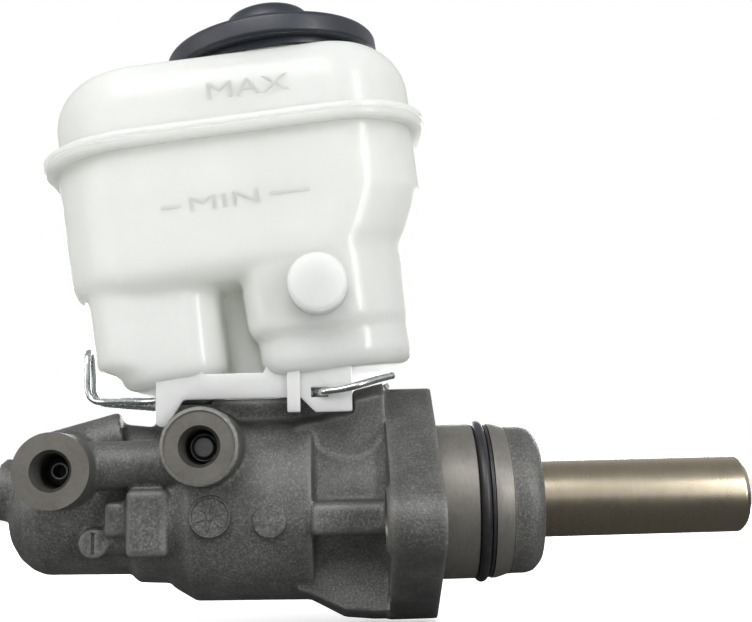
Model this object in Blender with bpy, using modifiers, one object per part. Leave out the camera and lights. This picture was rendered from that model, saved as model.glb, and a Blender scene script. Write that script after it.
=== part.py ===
"""Tandem brake master cylinder with a two-chamber fluid reservoir.

The origin is on the bore axis at the flange's rear face, which meets the brake booster.
+X runs along the bore to the push-rod end and +Z up to the reservoir.
Sizes below are in millimetres and become metres where meshes and places are made.
"""
import math

import bmesh
import bpy
from mathutils import Vector

MM = 0.001
NAME = "brake_master_cylinder"

# Driving dimensions
PISTON_R = 11.9
RUN_GAP = 0.3
SEAT_GAP = 0.3
PRIMARY_STROKE = 30.0
SECONDARY_STROKE = 15.0
ROD_END_X = 97.8
HUB_END_X = 32.3
PILOT_R = 23.9
FLANGE_THICKNESS = 15.3
STUD_SPAN = 82.0
STUD_HOLE_R = 4.5
FLANGE_TURN = math.radians(5.0)
RESERVOIR_TILT = math.radians(7.0)
WALL = 2.4

# Bore stations along X
BORE_R = PISTON_R + RUN_GAP
BORE_END_X = -126.0
COUNTERBORE_R = 16.0
COUNTERBORE_X = 14.0
SNAP_RING_X = 29.5
SEAL_GROOVE_R = 15.5
SEAL_GROOVE_WIDTH = 6.0
PRIMARY_CUP_X = -43.0
SEPARATING_CUP_X = -74.5
SECONDARY_CUP_X = -87.5
PRIMARY_FRONT_X = -48.0
PRIMARY_POCKET_X = -12.0
SECONDARY_REAR_X = PRIMARY_FRONT_X - (PRIMARY_STROKE - SECONDARY_STROKE) - 1.0
SECONDARY_FRONT_X = -106.0
SECONDARY_POCKET_X = -84.0
POCKET_R = 8.6

# Outlet ports, which face -Y: centre x, face y, centre z, boss radius
REAR_PORT = (-68.5, -37.9, 18.0, 11.4)
FRONT_PORT = (-110.5, -36.0, 12.2, 11.0)
PORT_THREAD_R = 5.6
PORT_DEPTH = 12.0
SEAT_POCKET_R = 4.6
SEAT_POCKET_DEPTH = 18.0

# Fluid inlets, which face +Z: centre x, boss top z, socket bottom z
FRONT_INLET = (-75.0, 31.5, 22.0)
REAR_INLET = (-36.0, 33.5, 23.5)
INLET_BOSS_R = 11.5
INLET_SOCKET_R = 9.3
SPIGOT_R = 6.0

# Reservoir stations in its own level frame: u along it, w up
SEAM_W = 119.0
TOP_W = 143.7
CAP_U = -30.3
CAP_W = 153.2
CAP_R = 34.4
NECK_TOP_W = 149.5
SWITCH_U = -26.2
SWITCH_W = 67.7
SWITCH_TUBE_R = 8.7

# Sides of a turned piece, by size
BORE_SIDES = 20
BODY_SIDES = 28
SMALL_SIDES = 16

ALONG_BORE = (0.0, math.pi / 2, 0.0)
TO_VIEWER = (math.pi / 2, 0.0, 0.0)
TO_BACK = (-math.pi / 2, 0.0, 0.0)
UPRIGHT = (0.0, 0.0, 0.0)


def clear_scene():
    for old in list(bpy.data.objects):
        bpy.data.objects.remove(old, do_unlink=True)


def new_collection(name):
    made = bpy.data.collections.new(name)
    bpy.context.scene.collection.children.link(made)
    return made


clear_scene()
PARTS = new_collection(NAME)
TOOLS = new_collection("cutters")


def finish(name, colour, roughness, metallic=0.0):
    made = bpy.data.materials.new(name)
    made.use_nodes = True
    shader = made.node_tree.nodes["Principled BSDF"]
    shader.inputs["Base Color"].default_value = (*colour, 1.0)
    shader.inputs["Roughness"].default_value = roughness
    shader.inputs["Metallic"].default_value = metallic
    return made


CAST = finish("cast_aluminium", (0.12, 0.12, 0.115), 0.55, 0.7)
ANODISED = finish("anodised_aluminium", (0.30, 0.25, 0.19), 0.35, 0.9)
STEEL = finish("bright_steel", (0.55, 0.56, 0.56), 0.3, 1.0)
BRASS = finish("brass", (0.62, 0.50, 0.28), 0.35, 1.0)
RUBBER = finish("black_rubber", (0.012, 0.012, 0.014), 0.55)
WHITE = finish("translucent_plastic", (0.82, 0.83, 0.80), 0.4)
BLACK = finish("black_plastic", (0.02, 0.024, 0.03), 0.4)
AMBER = finish("float_plastic", (0.75, 0.62, 0.35), 0.5)


def add_object(name, data, material, centre=(0.0, 0.0, 0.0), turn=UPRIGHT, parent=None):
    """Link data as a part when it has a material, or as a hidden shaping tool when it has none."""
    made = bpy.data.objects.new(name, data)
    made.location = Vector(centre) * MM
    made.rotation_euler = turn
    made.parent = parent
    if material is None:
        TOOLS.objects.link(made)
        made.hide_render = True
        made.display_type = "WIRE"
    else:
        PARTS.objects.link(made)
        data.materials.append(material)
    return made


def combine(body, tools, operation):
    """Join tools to a body, or cut them from it, all in one exact step."""
    group = bpy.data.collections.new(f"{operation.lower()}_{body.name}")
    TOOLS.children.link(group)
    for tool in tools:
        TOOLS.objects.unlink(tool)
        group.objects.link(tool)
    step = body.modifiers.new(group.name, "BOOLEAN")
    step.operation = operation
    step.solver = "EXACT"
    step.operand_type = "COLLECTION"
    step.collection = group


def join(body, *tools):
    combine(body, tools, "UNION")


def cut(body, *tools):
    combine(body, tools, "DIFFERENCE")


def turned(name, profile, material=None, centre=(0.0, 0.0, 0.0), turn=ALONG_BORE, steps=BORE_SIDES,
           closed=False, parent=None):
    """Turn a (radius, height) profile, which runs down its outer side, about its height axis."""
    mesh = bpy.data.meshes.new(name)
    points = [(radius * MM, 0.0, height * MM) for radius, height in profile]
    edges = [(i, i + 1) for i in range(len(points) - 1)]
    if closed:
        edges.append((len(points) - 1, 0))
    mesh.from_pydata(points, edges, [])
    made = add_object(name, mesh, material, centre, turn, parent)
    screw = made.modifiers.new("turn", "SCREW")
    screw.steps = steps
    screw.render_steps = steps
    screw.use_merge_vertices = True
    screw.merge_threshold = 0.00001
    return made


def cylinder(name, radius, low, high, material=None, centre=(0.0, 0.0, 0.0), turn=ALONG_BORE,
             steps=SMALL_SIDES, parent=None):
    profile = [(0.0, high), (radius, high), (radius, low), (0.0, low)]
    return turned(name, profile, material, centre, turn, steps, parent=parent)


def rod(name, start, end, radius, steps=16):
    """A straight round bar between two points, as a shaping tool."""
    run = Vector(end) - Vector(start)
    made = cylinder(name, radius, 0.0, run.length, centre=start, turn=UPRIGHT, steps=steps)
    made.rotation_euler = run.to_track_quat("Z", "Y").to_euler()
    return made


def block(name, low, high, material=None, rounding=0.0, parent=None):
    mesh = bpy.data.meshes.new(name)
    size = Vector(high) - Vector(low)
    shape = bmesh.new()
    bmesh.ops.create_cube(shape, size=1.0)
    bmesh.ops.scale(shape, vec=size * MM, verts=shape.verts)
    shape.to_mesh(mesh)
    shape.free()
    made = add_object(name, mesh, material, (Vector(low) + Vector(high)) / 2, parent=parent)
    if rounding:
        bevel = made.modifiers.new("round edges", "BEVEL")
        bevel.width = rounding * MM
        bevel.segments = 2
    return made


def plate(name, outline, thickness, centre, turn, material=None):
    """A flat outline with a thickness, centred on its plane and turned into a mesh."""
    curve = bpy.data.curves.new(name, "CURVE")
    curve.dimensions = "2D"
    curve.fill_mode = "BOTH"
    curve.extrude = thickness / 2 * MM
    spline = curve.splines.new("POLY")
    spline.points.add(len(outline) - 1)
    for point, (x, y) in zip(spline.points, outline):
        point.co = (x * MM, y * MM, 0.0, 1.0)
    spline.use_cyclic_u = True
    guide = bpy.data.objects.new(name + "_outline", curve)
    TOOLS.objects.link(guide)
    mesh = bpy.data.meshes.new_from_object(guide.evaluated_get(bpy.context.evaluated_depsgraph_get()))
    bpy.data.objects.remove(guide, do_unlink=True)
    shape = bmesh.new()
    shape.from_mesh(mesh)
    bmesh.ops.remove_doubles(shape, verts=shape.verts, dist=0.00001)
    shape.to_mesh(mesh)
    shape.free()
    mesh.name = name
    return add_object(name, mesh, material, centre, turn)


def wire(name, points, radius, material, parent=None):
    curve = bpy.data.curves.new(name, "CURVE")
    curve.dimensions = "3D"
    curve.bevel_depth = radius * MM
    curve.bevel_resolution = 2
    curve.use_fill_caps = True
    spline = curve.splines.new("POLY")
    spline.points.add(len(points) - 1)
    for point, place in zip(spline.points, points):
        point.co = (*(Vector(place) * MM), 1.0)
    return add_object(name, curve, material, parent=parent)


def smooth_path(points, steps=4):
    """A Catmull-Rom curve through the points."""
    knots = [Vector(p) for p in (points[0], *points, points[-1])]
    path = []
    for a, b, c, d in zip(knots, knots[1:], knots[2:], knots[3:]):
        for i in range(steps):
            t = i / steps
            path.append(0.5 * (2 * b + (c - a) * t + (2 * a - 5 * b + 4 * c - d) * t * t
                               + (3 * b - a - 3 * c + d) * t ** 3))
    path.append(knots[-1])
    return path


def hull_of_circles(centres, radius, steps=8):
    """The outline round equal circles, given anticlockwise."""
    outline = []
    count = len(centres)
    for i in range(count):
        before = Vector(centres[i]) - Vector(centres[i - 1])
        after = Vector(centres[(i + 1) % count]) - Vector(centres[i])
        start = math.atan2(before.y, before.x) - math.pi / 2
        sweep = (math.atan2(after.y, after.x) - math.pi / 2 - start) % (2 * math.pi)
        for k in range(steps + 1):
            angle = start + sweep * k / steps
            outline.append((centres[i][0] + radius * math.cos(angle),
                            centres[i][1] + radius * math.sin(angle)))
    return outline


def rounded_section(w, u_low, u_high, half, corners, inset=0.0, steps=4):
    """A level rectangle with round corners: corners gives the radii at its low and high u ends."""
    ring = []
    low, high, depth = u_low + inset, u_high - inset, half - inset
    radii = [max(r - inset, 0.8) for r in (corners[0], corners[1], corners[1], corners[0])]
    signs = ((-1, -1), (1, -1), (1, 1), (-1, 1))
    starts = (math.pi, 1.5 * math.pi, 0.0, 0.5 * math.pi)
    for radius, (side, face), start in zip(radii, signs, starts):
        centre_u = (low + radius) if side < 0 else (high - radius)
        centre_y = face * (depth - radius)
        for k in range(steps + 1):
            angle = start + k / steps * math.pi / 2
            ring.append((centre_u + radius * math.cos(angle), centre_y + radius * math.sin(angle), w))
    return ring


def loft(name, rings, material=None, parent=None):
    """A closed solid through level rings of equal length, listed from the bottom up."""
    mesh = bpy.data.meshes.new(name)
    shape = bmesh.new()
    rows = [[shape.verts.new(Vector(p) * MM) for p in ring] for ring in rings]
    for lower, upper in zip(rows, rows[1:]):
        for k in range(len(lower)):
            j = (k + 1) % len(lower)
            shape.faces.new((lower[k], lower[j], upper[j], upper[k]))
    shape.faces.new(list(reversed(rows[0])))
    shape.faces.new(rows[-1])
    shape.to_mesh(mesh)
    shape.free()
    return add_object(name, mesh, material, parent=parent)


def chamber(name, stations, corners, edge, inset=0.0, parent=None, material=None):
    """A moulded chamber through (w, u_low, u_high, half) stations, with a rounded bottom edge."""
    w, u_low, u_high, half = stations[0]
    w += inset
    radius = max(edge - inset, 0.8)
    rings = []
    for k in range(3):
        angle = k / 2 * math.pi / 2
        shrink = inset + radius * (1 - math.sin(angle))
        rings.append(rounded_section(w + radius * (1 - math.cos(angle)), u_low, u_high, half,
                                     corners, shrink))
    for w, u_low, u_high, half in stations[1:]:
        rings.append(rounded_section(w, u_low, u_high, half, corners, inset))
    return loft(name, rings, material, parent)


# ---------------------------------------------------------------- casting

def make_casting():
    body = turned("cylinder_body", [
        (0.0, -8.0), (25.0, -8.0), (25.0, -37.0), (28.8, -38.6), (28.2, -73.4), (24.3, -80.0),
        (22.7, -81.5), (22.2, -91.0), (19.7, -93.5), (19.2, -119.5), (17.8, -123.0),
        (15.0, -126.5), (10.5, -129.5), (0.0, -131.8)], CAST, steps=BODY_SIDES)
    join(body, make_hub(), make_flange(), *outlet_bosses(), *inlet_bosses(), *cast_lugs())
    cut(body, make_bore(), *stud_holes(), *inlet_sockets(), *outlet_bores())
    return body


def make_hub():
    return turned("hub", [
        (0.0, HUB_END_X), (19.4, HUB_END_X), (21.8, 30.2), (22.6, 28.0), (22.6, 22.8),
        (PILOT_R, 18.6), (PILOT_R, 17.2), (21.3, 17.2), (21.3, 12.1), (PILOT_R, 12.1),
        (PILOT_R, -5.0), (0.0, -5.0)], steps=BODY_SIDES)


def stud_centres():
    reach = STUD_SPAN / 2
    near = (-reach * math.cos(FLANGE_TURN), -reach * math.sin(FLANGE_TURN))
    return near, (-near[0], -near[1])


def make_flange():
    near, far = stud_centres()
    corner_r = 10.0
    crown = 35.7 - corner_r
    outline = hull_of_circles([near, (0.0, -crown), far, (0.0, crown)], corner_r)
    turn = (math.pi / 2, 0.0, math.pi / 2)
    return plate("flange", outline, FLANGE_THICKNESS, (-FLANGE_THICKNESS / 2, 0.0, 0.0), turn)


def outlet_bosses():
    bosses = []
    for name, (x, face, z, radius) in (("rear_boss", REAR_PORT), ("front_boss", FRONT_PORT)):
        height = -face
        bosses.append(turned(name, [
            (0.0, height), (radius - 0.9, height), (radius, height - 0.9), (radius, height - 9.0),
            (radius + 1.6, height - 16.0), (radius + 0.4, 9.0), (0.0, 9.0)],
            centre=(x, 0.0, z), turn=TO_VIEWER, steps=24))
    return bosses


def inlet_bosses():
    return [cylinder(name, INLET_BOSS_R, 5.0, top, centre=(x, 0.0, 0.0), turn=UPRIGHT)
            for name, (x, top, _) in (("front_inlet_boss", FRONT_INLET),
                                      ("rear_inlet_boss", REAR_INLET))]


def cast_lugs():
    """The ribs, pads and bosses that are cast on the outside."""
    side = [(-42.0, -27.5), (-38.0, -29.0), (-28.3, -34.2), (-18.8, -35.1), (-15.0, -35.1),
            (-15.0, 37.6), (-24.5, 35.4), (-24.5, 31.0), (-42.0, 27.0)]
    crown_r = 38.0
    web = loft("neck_web", [[(x, y, z * math.sqrt(1.0 - (y / crown_r) ** 2)) for x, z in side]
                            for y in (18.0, 12.0, 6.0, 0.0, -6.0, -12.0, -18.0)])
    return [
        web,
        rod("passage_tube", (-104.0, -21.5, 13.7), (-66.0, -21.5, 13.7), 7.0),
        rod("feed_boss", (-117.0, -9.0, 16.5), (-94.6, -8.0, 22.4), 7.6),
        rod("saddle", (-99.0, -3.0, 17.0), (-84.0, -3.0, 15.2), 9.8),
        rod("nose_boss", (-134.2, -2.0, 7.5), (-118.0, -2.0, 4.5), 9.5),
        block("step_pad", (-91.3, -27.0, -13.0), (-79.0, -8.0, 6.2), rounding=1.5),
        block("small_step", (-98.0, -24.3, -7.0), (-90.0, -8.0, 2.8), rounding=1.2),
        cylinder("marker_pad", 4.2, 8.0, 22.2, centre=(-101.4, 0.0, -8.9), turn=TO_VIEWER, steps=16),
        rod("marker_rib", (-101.4, -15.5, -7.6), (-90.0, -17.5, -7.6), 5.0, 12),
        cylinder("foundry_pad", 5.6, 20.0, 29.0, centre=(-66.6, 0.0, -2.0), turn=TO_VIEWER, steps=16),
        cylinder("blank_pad", 5.2, 20.0, 29.2, centre=(-49.5, 0.0, -3.6), turn=TO_VIEWER, steps=16),
        block("inlet_rib", (-75.0, -11.0, 14.0), (-36.0, 11.0, 31.5), rounding=1.5),
        block("near_lug", (-37.6, -31.0, -7.9), (-8.0, -12.0, 1.2), rounding=2.5),
        block("far_lug", (-37.6, 12.0, -1.2), (-8.0, 31.0, 7.9), rounding=2.5),
    ]


def make_bore():
    groove = SEAL_GROOVE_WIDTH / 2
    profile = [(0.0, HUB_END_X + 1.0), (COUNTERBORE_R, HUB_END_X + 1.0),
               (COUNTERBORE_R, SNAP_RING_X + 1.0), (17.2, SNAP_RING_X + 1.0),
               (17.2, SNAP_RING_X - 1.0), (COUNTERBORE_R, SNAP_RING_X - 1.0),
               (COUNTERBORE_R, COUNTERBORE_X), (BORE_R, COUNTERBORE_X)]
    for x in (PRIMARY_CUP_X, SEPARATING_CUP_X, SECONDARY_CUP_X):
        profile += [(BORE_R, x + groove), (SEAL_GROOVE_R, x + groove),
                    (SEAL_GROOVE_R, x - groove), (BORE_R, x - groove)]
    profile += [(BORE_R, BORE_END_X + 4.0), (9.0, BORE_END_X), (0.0, BORE_END_X)]
    return turned("bore", profile)


def stud_holes():
    return [cylinder(name, STUD_HOLE_R, -FLANGE_THICKNESS - 1.0, 1.0, centre=(0.0, y, z))
            for name, (y, z) in zip(("near_stud_hole", "far_stud_hole"), stud_centres())]


def inlet_sockets():
    tools = []
    for name, (x, top, bottom), slant in (("front_socket", FRONT_INLET, -6.0),
                                          ("rear_socket", REAR_INLET, 1.0)):
        tools.append(cylinder(name, INLET_SOCKET_R, bottom, top + 1.0, centre=(x, 0.0, 0.0),
                              turn=UPRIGHT))
        tools.append(rod(name + "_feed", (x, 0.0, bottom + 2.0), (x + slant, 0.0, BORE_R - 2.5),
                         1.8, 10))
    return tools


def outlet_bores():
    tools = []
    for name, (x, face, z, _) in (("rear_port", REAR_PORT), ("front_port", FRONT_PORT)):
        mouth = -face
        tools.append(turned(name, [
            (0.0, mouth + 1.0), (PORT_THREAD_R + 0.8, mouth + 1.0), (PORT_THREAD_R + 0.8, mouth),
            (PORT_THREAD_R, mouth - 0.8), (PORT_THREAD_R, mouth - PORT_DEPTH),
            (SEAT_POCKET_R, mouth - PORT_DEPTH - 1.0), (SEAT_POCKET_R, mouth - SEAT_POCKET_DEPTH),
            (0.0, mouth - SEAT_POCKET_DEPTH)],
            centre=(x, 0.0, z), turn=TO_VIEWER))
        inner = face + SEAT_POCKET_DEPTH
        tools.append(rod(name + "_drilling", (x, inner - 0.5, z), (x, -7.5, z - 10.5), 1.6, 10))
    return tools


# ---------------------------------------------------------------- bore contents

def make_pistons(primary, secondary):
    rod_edge = 1.6
    piston = turned("primary_piston", [
        (0.0, ROD_END_X - 26.0), (4.6, ROD_END_X - 23.0), (4.6, ROD_END_X - 1.0),
        (5.6, ROD_END_X), (PISTON_R - rod_edge, ROD_END_X), (PISTON_R - 0.5, ROD_END_X - 0.5),
        (PISTON_R, ROD_END_X - rod_edge), (PISTON_R, PRIMARY_FRONT_X + 0.8),
        (PISTON_R - 0.8, PRIMARY_FRONT_X), (POCKET_R, PRIMARY_FRONT_X),
        (POCKET_R, PRIMARY_POCKET_X), (0.0, PRIMARY_POCKET_X)], ANODISED, parent=primary)
    cut(piston, rod("primary_bleed_hole", (-46.2, 0.0, -14.0), (-46.2, 0.0, 14.0), 0.8, 8))
    piston = turned("secondary_piston", [
        (0.0, SECONDARY_REAR_X - 17.0), (3.6, SECONDARY_REAR_X - 17.0), (3.6, SECONDARY_REAR_X),
        (PISTON_R - 0.8, SECONDARY_REAR_X), (PISTON_R, SECONDARY_REAR_X - 0.8),
        (PISTON_R, SECONDARY_FRONT_X + 0.8), (PISTON_R - 0.8, SECONDARY_FRONT_X),
        (POCKET_R, SECONDARY_FRONT_X), (POCKET_R, SECONDARY_POCKET_X),
        (0.0, SECONDARY_POCKET_X)], ANODISED, parent=secondary)
    cut(piston, rod("secondary_bleed_hole", (-91.8, 0.0, -14.0), (-91.8, 0.0, 14.0), 0.8, 8))


def spring_path(start, end, radius, turns):
    per_turn = 8
    count = turns * per_turn
    return [(start + (end - start) * i / count, radius * math.cos(2 * math.pi * i / per_turn),
             radius * math.sin(2 * math.pi * i / per_turn)) for i in range(count + 1)]


def make_springs(primary, secondary):
    wire_r = 1.0
    coil_r = 6.8
    seat = SECONDARY_REAR_X + SEAT_GAP
    turned("primary_spring_retainer", [
        (3.3, seat + 8.4), (2.1, seat + 8.4), (2.1, seat + 9.6), (4.4, seat + 9.6),
        (4.4, seat + 1.2), (8.0, seat + 1.2), (8.0, seat), (3.3, seat)],
        STEEL, steps=SMALL_SIDES, closed=True, parent=secondary)
    turned("primary_spring_stem", [
        (0.0, PRIMARY_POCKET_X - SEAT_GAP), (1.7, PRIMARY_POCKET_X - SEAT_GAP),
        (1.7, seat + 8.1), (2.9, seat + 8.1), (2.9, seat + 6.0), (0.0, seat + 6.0)],
        STEEL, steps=16, parent=primary)
    wire("primary_return_spring", spring_path(
        seat + 1.2 + SEAT_GAP + wire_r, PRIMARY_POCKET_X - SEAT_GAP - wire_r, coil_r, 6),
        wire_r, STEEL)
    floor = BORE_END_X + SEAT_GAP
    turned("secondary_spring_seat", [
        (0.0, floor + 8.0), (4.6, floor + 8.0), (4.6, floor + 1.2), (8.3, floor + 1.2),
        (8.3, floor), (0.0, floor)], STEEL, steps=SMALL_SIDES)
    wire("secondary_return_spring", spring_path(
        floor + 1.2 + SEAT_GAP + wire_r, SECONDARY_POCKET_X - SEAT_GAP - wire_r, coil_r, 6),
        wire_r, STEEL)


def make_cup(name, centre_x, outer_r, width):
    """A lip seal whose groove opens towards the pressure side."""
    inner = PISTON_R + RUN_GAP
    outer = outer_r - SEAT_GAP
    back = centre_x + width / 2 - SEAT_GAP
    front = centre_x - width / 2 + SEAT_GAP
    thick = (outer - inner) / 3
    turned(name, [
        (inner, back), (outer, back), (outer, front), (outer - thick, front),
        (outer - thick, back - 2.2), (inner + thick, back - 2.2), (inner + thick, front),
        (inner, front)], RUBBER, closed=True)


def make_bore_seals():
    make_cup("primary_pressure_cup", PRIMARY_CUP_X, SEAL_GROOVE_R, SEAL_GROOVE_WIDTH)
    make_cup("separating_cup", SEPARATING_CUP_X, SEAL_GROOVE_R, SEAL_GROOVE_WIDTH)
    make_cup("secondary_pressure_cup", SECONDARY_CUP_X, SEAL_GROOVE_R, SEAL_GROOVE_WIDTH)
    make_cup("vacuum_seal", COUNTERBORE_X + 3.0, COUNTERBORE_R, 6.0)
    guide_low = COUNTERBORE_X + 6.3
    guide_high = SNAP_RING_X - 1.3
    turned("piston_guide", [
        (BORE_R, guide_high), (COUNTERBORE_R - SEAT_GAP, guide_high),
        (COUNTERBORE_R - SEAT_GAP, guide_low), (BORE_R, guide_low)],
        BLACK, closed=True)
    ring_r = 15.9
    opening = math.radians(40.0)
    count = 24
    angles = [opening / 2 + (2 * math.pi - opening) * i / count for i in range(count + 1)]
    wire("snap_ring", [(SNAP_RING_X, ring_r * math.sin(a), -ring_r * math.cos(a)) for a in angles],
         0.65, STEEL)


def make_spigot_seals():
    """The round-section ring that seals in the booster, and the flat ring behind it."""
    section_r = 1.7
    mean_r = 23.35
    count = 8
    profile = [(mean_r + section_r * math.cos(2 * math.pi * i / count),
                14.1 - section_r * math.sin(2 * math.pi * i / count)) for i in range(count)]
    turned("booster_o_ring", profile, RUBBER, steps=BODY_SIDES, closed=True)
    turned("backup_ring", [
        (21.7, 16.9), (PILOT_R - 0.2, 16.9), (PILOT_R - 0.2, 16.1), (21.7, 16.1)],
        BLACK, steps=BODY_SIDES, closed=True)


def make_outlet_seats():
    for name, (x, face, z, _) in (("rear_outlet_seat", REAR_PORT),
                                  ("front_outlet_seat", FRONT_PORT)):
        mouth = -face
        floor = mouth - SEAT_POCKET_DEPTH + SEAT_GAP
        tip = mouth - PORT_DEPTH + 1.4
        turned(name, [
            (1.3, tip), (2.4, tip), (SEAT_POCKET_R - SEAT_GAP, tip - 2.6),
            (SEAT_POCKET_R - SEAT_GAP, floor), (1.3, floor)],
            STEEL, centre=(x, 0.0, z), turn=TO_VIEWER, steps=SMALL_SIDES, closed=True)


# ---------------------------------------------------------------- reservoir

MAIN_STATIONS = [(74.0, -102.6, 2.4, 34.0), (84.0, -102.8, 4.6, 34.0), (97.0, -103.0, 10.2, 34.0),
                 (SEAM_W, -103.0, 10.8, 34.0)]
MAIN_CORNERS = (29.0, 27.0)
FRONT_TANK = [(46.0, -95.6, -56.6, 28.0), (82.0, -96.6, -56.2, 28.0)]
FRONT_TANK_CORNERS = (13.0, 11.0)
REAR_TANK = [(55.2, -48.6, 1.6, 33.0), (82.0, -49.0, 2.0, 33.0)]
REAR_TANK_CORNERS = (9.0, 26.0)
REAR_SUMP = [(43.5, -46.2, 0.9, 30.0), (60.0, -46.2, 0.9, 30.0)]
REAR_SUMP_CORNERS = (8.0, 23.0)
RIM = (-105.7, 14.6, 37.4)
RIM_CORNERS = (31.0, 29.0)
UPPER_STATION = (-101.6, 11.2, 34.2)
SIDE_FULLNESS = 0.54      # how much less the shoulder rounds in at the sides than at the ends


def rim(name, low, high, parent):
    rings = [rounded_section(w, *RIM, RIM_CORNERS, inset)
             for w, inset in ((low, 0.5), (low + 0.5, 0.0), (high - 0.5, 0.0), (high, 0.5))]
    return loft(name, rings, parent=parent)


def bracket_walls():
    """The skirt walls that stand on the casting, one on each side: their outline along X and Z."""
    outline = [
        (-82.6, 40.2), (-82.6, 25.2), (-81.4, 24.3), (-79.6, 24.3), (-74.7, 32.1), (-44.0, 32.1),
        (-44.0, 27.7), (-40.2, 27.7), (-40.2, 32.1), (-35.8, 27.6), (-24.9, 27.6), (-24.9, 44.0),
        (-49.0, 44.0), (-51.0, 39.5), (-68.5, 39.5), (-70.0, 41.7)]
    walls = [plate(name, outline, WALL, (0.0, y, 0.0), TO_VIEWER)
             for name, y in (("near_skirt", -25.0), ("far_skirt", 25.0))]
    slots = [block(name, (-38.8, y - 3.0, 31.6), (-31.6, y + 3.0, 35.4))
             for name, y in (("near_clip_slot", -25.0), ("far_clip_slot", 25.0))]
    pegs = [block(name, (-44.0, min(y, y + s * 2.6), 27.7), (-40.2, max(y, y + s * 2.6), 44.0))
            for name, y, s in (("near_peg", -25.0, -1), ("far_peg", 25.0, 1))]
    return walls, slots, pegs


def spigots():
    outer = []
    bores = []
    for name, (x, _, bottom), top in (("front_spigot", FRONT_INLET, 41.0),
                                      ("rear_spigot", REAR_INLET, 43.0)):
        low = bottom + 1.5
        outer.append(turned(name, [(0.0, top), (SPIGOT_R, top), (SPIGOT_R, low + 1.0),
                                   (SPIGOT_R - 0.8, low), (0.0, low)],
                            centre=(x, 0.0, 0.0), turn=UPRIGHT, steps=SMALL_SIDES))
        bores.append(cylinder(name + "_bore", SPIGOT_R - WALL, low - 1.0, top + 3.0,
                              centre=(x, 0.0, 0.0), turn=UPRIGHT))
    return outer, bores


def make_lower_reservoir(level):
    body = chamber("reservoir_lower", MAIN_STATIONS, MAIN_CORNERS, 7.0, parent=level,
                   material=WHITE)
    tanks = (("front_tank", FRONT_TANK, FRONT_TANK_CORNERS, 9.0),
             ("rear_tank", REAR_TANK, REAR_TANK_CORNERS, 4.0),
             ("rear_sump", REAR_SUMP, REAR_SUMP_CORNERS, 5.0))
    walls, slots, pegs = bracket_walls()
    outer, bores = spigots()
    join(body, *(chamber(name, stations, corners, edge, parent=level)
                 for name, stations, corners, edge in tanks),
         block("tank_web", (-58.0, -1.2, 44.0), (-44.0, 1.2, 76.0), parent=level),
         rim("lower_rim", SEAM_W - 2.2, SEAM_W, level), *walls, *pegs, *outer)
    hollow = [*MAIN_STATIONS[:-1], (SEAM_W + 2.0, *MAIN_STATIONS[-1][1:])]
    cut(body, chamber("main_hollow", hollow, MAIN_CORNERS, 7.0, WALL, level),
        *(chamber(name + "_hollow", stations, corners, edge, WALL, level)
          for name, stations, corners, edge in tanks))
    join(body, *switch_tube(level))
    cut(body, cylinder("switch_bore", 6.4, -39.5, 50.0, centre=(SWITCH_U, 0.0, SWITCH_W),
                       turn=TO_BACK, parent=level), *bores, *slots)


def switch_tube(level):
    """The closed tube across the rear chamber, with the float's guide post standing on it."""
    tube = turned("switch_tube", [
        (0.0, 36.0), (SWITCH_TUBE_R, 36.0), (SWITCH_TUBE_R, -41.0), (SWITCH_TUBE_R - 1.4, -42.4),
        (0.0, -42.4)], centre=(SWITCH_U, 0.0, SWITCH_W), turn=TO_BACK, parent=level)
    post = cylinder("float_post", 2.2, SWITCH_W + SWITCH_TUBE_R - 1.0, 106.0,
                    centre=(SWITCH_U, 0.0, 0.0), turn=UPRIGHT, steps=10, parent=level)
    return tube, post


def upper_rings(inset, low, high, edge):
    """The upper shell's sections: the shoulder is rounder at the ends than at the sides."""
    front, rear, half = UPPER_STATION
    radius = edge - inset
    rings = [rounded_section(low, *UPPER_STATION, MAIN_CORNERS, inset)]
    for k in range(4):
        angle = k / 3 * math.pi / 2
        rounding = radius * (1 - math.cos(angle))
        rings.append(rounded_section(high - radius * (1 - math.sin(angle)), front, rear,
                                     half + SIDE_FULLNESS * rounding, MAIN_CORNERS,
                                     inset + rounding))
    return rings


def make_upper_reservoir(level):
    base = SEAM_W + SEAT_GAP
    edge = 13.0
    body = loft("reservoir_upper", upper_rings(0.0, base, TOP_W, edge), WHITE, level)
    centre = (CAP_U, 0.0, 0.0)
    join(body, rim("upper_rim", base, base + 2.2, level), turned("filler_neck", [
        (0.0, NECK_TOP_W), (26.8, NECK_TOP_W), (26.8, 148.4), (27.7, 147.9), (27.7, 146.9),
        (26.8, 146.4), (26.8, 141.0), (0.0, 141.0)], centre=centre, turn=UPRIGHT, parent=level))
    cut(body, loft("upper_hollow", upper_rings(WALL, base - 2.0, TOP_W - WALL, edge), parent=level),
        turned("neck_bore", [
            (0.0, NECK_TOP_W + 1.0), (24.2, NECK_TOP_W + 1.0), (24.2, 146.0), (22.0, 146.0),
            (22.0, 138.0), (0.0, 138.0)], centre=centre, turn=UPRIGHT, parent=level))


def make_strainer(level):
    body = turned("fluid_strainer", [
        (0.0, 129.4), (20.2, 129.4), (20.2, 147.4), (23.8, 147.4), (23.8, 146.3), (21.6, 146.3),
        (21.6, 128.2), (0.0, 128.2)], WHITE, centre=(CAP_U, 0.0, 0.0), turn=UPRIGHT, parent=level)
    count = 3
    windows = []
    for k in range(count):
        window = block(f"strainer_window_{k}", (-26.0, -5.0, -5.5), (26.0, 5.0, 5.5), parent=level)
        window.location = Vector((CAP_U, 0.0, 136.5)) * MM
        window.rotation_euler = (0.0, 0.0, math.pi * k / count)
        windows.append(window)
    cut(body, *windows)


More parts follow.
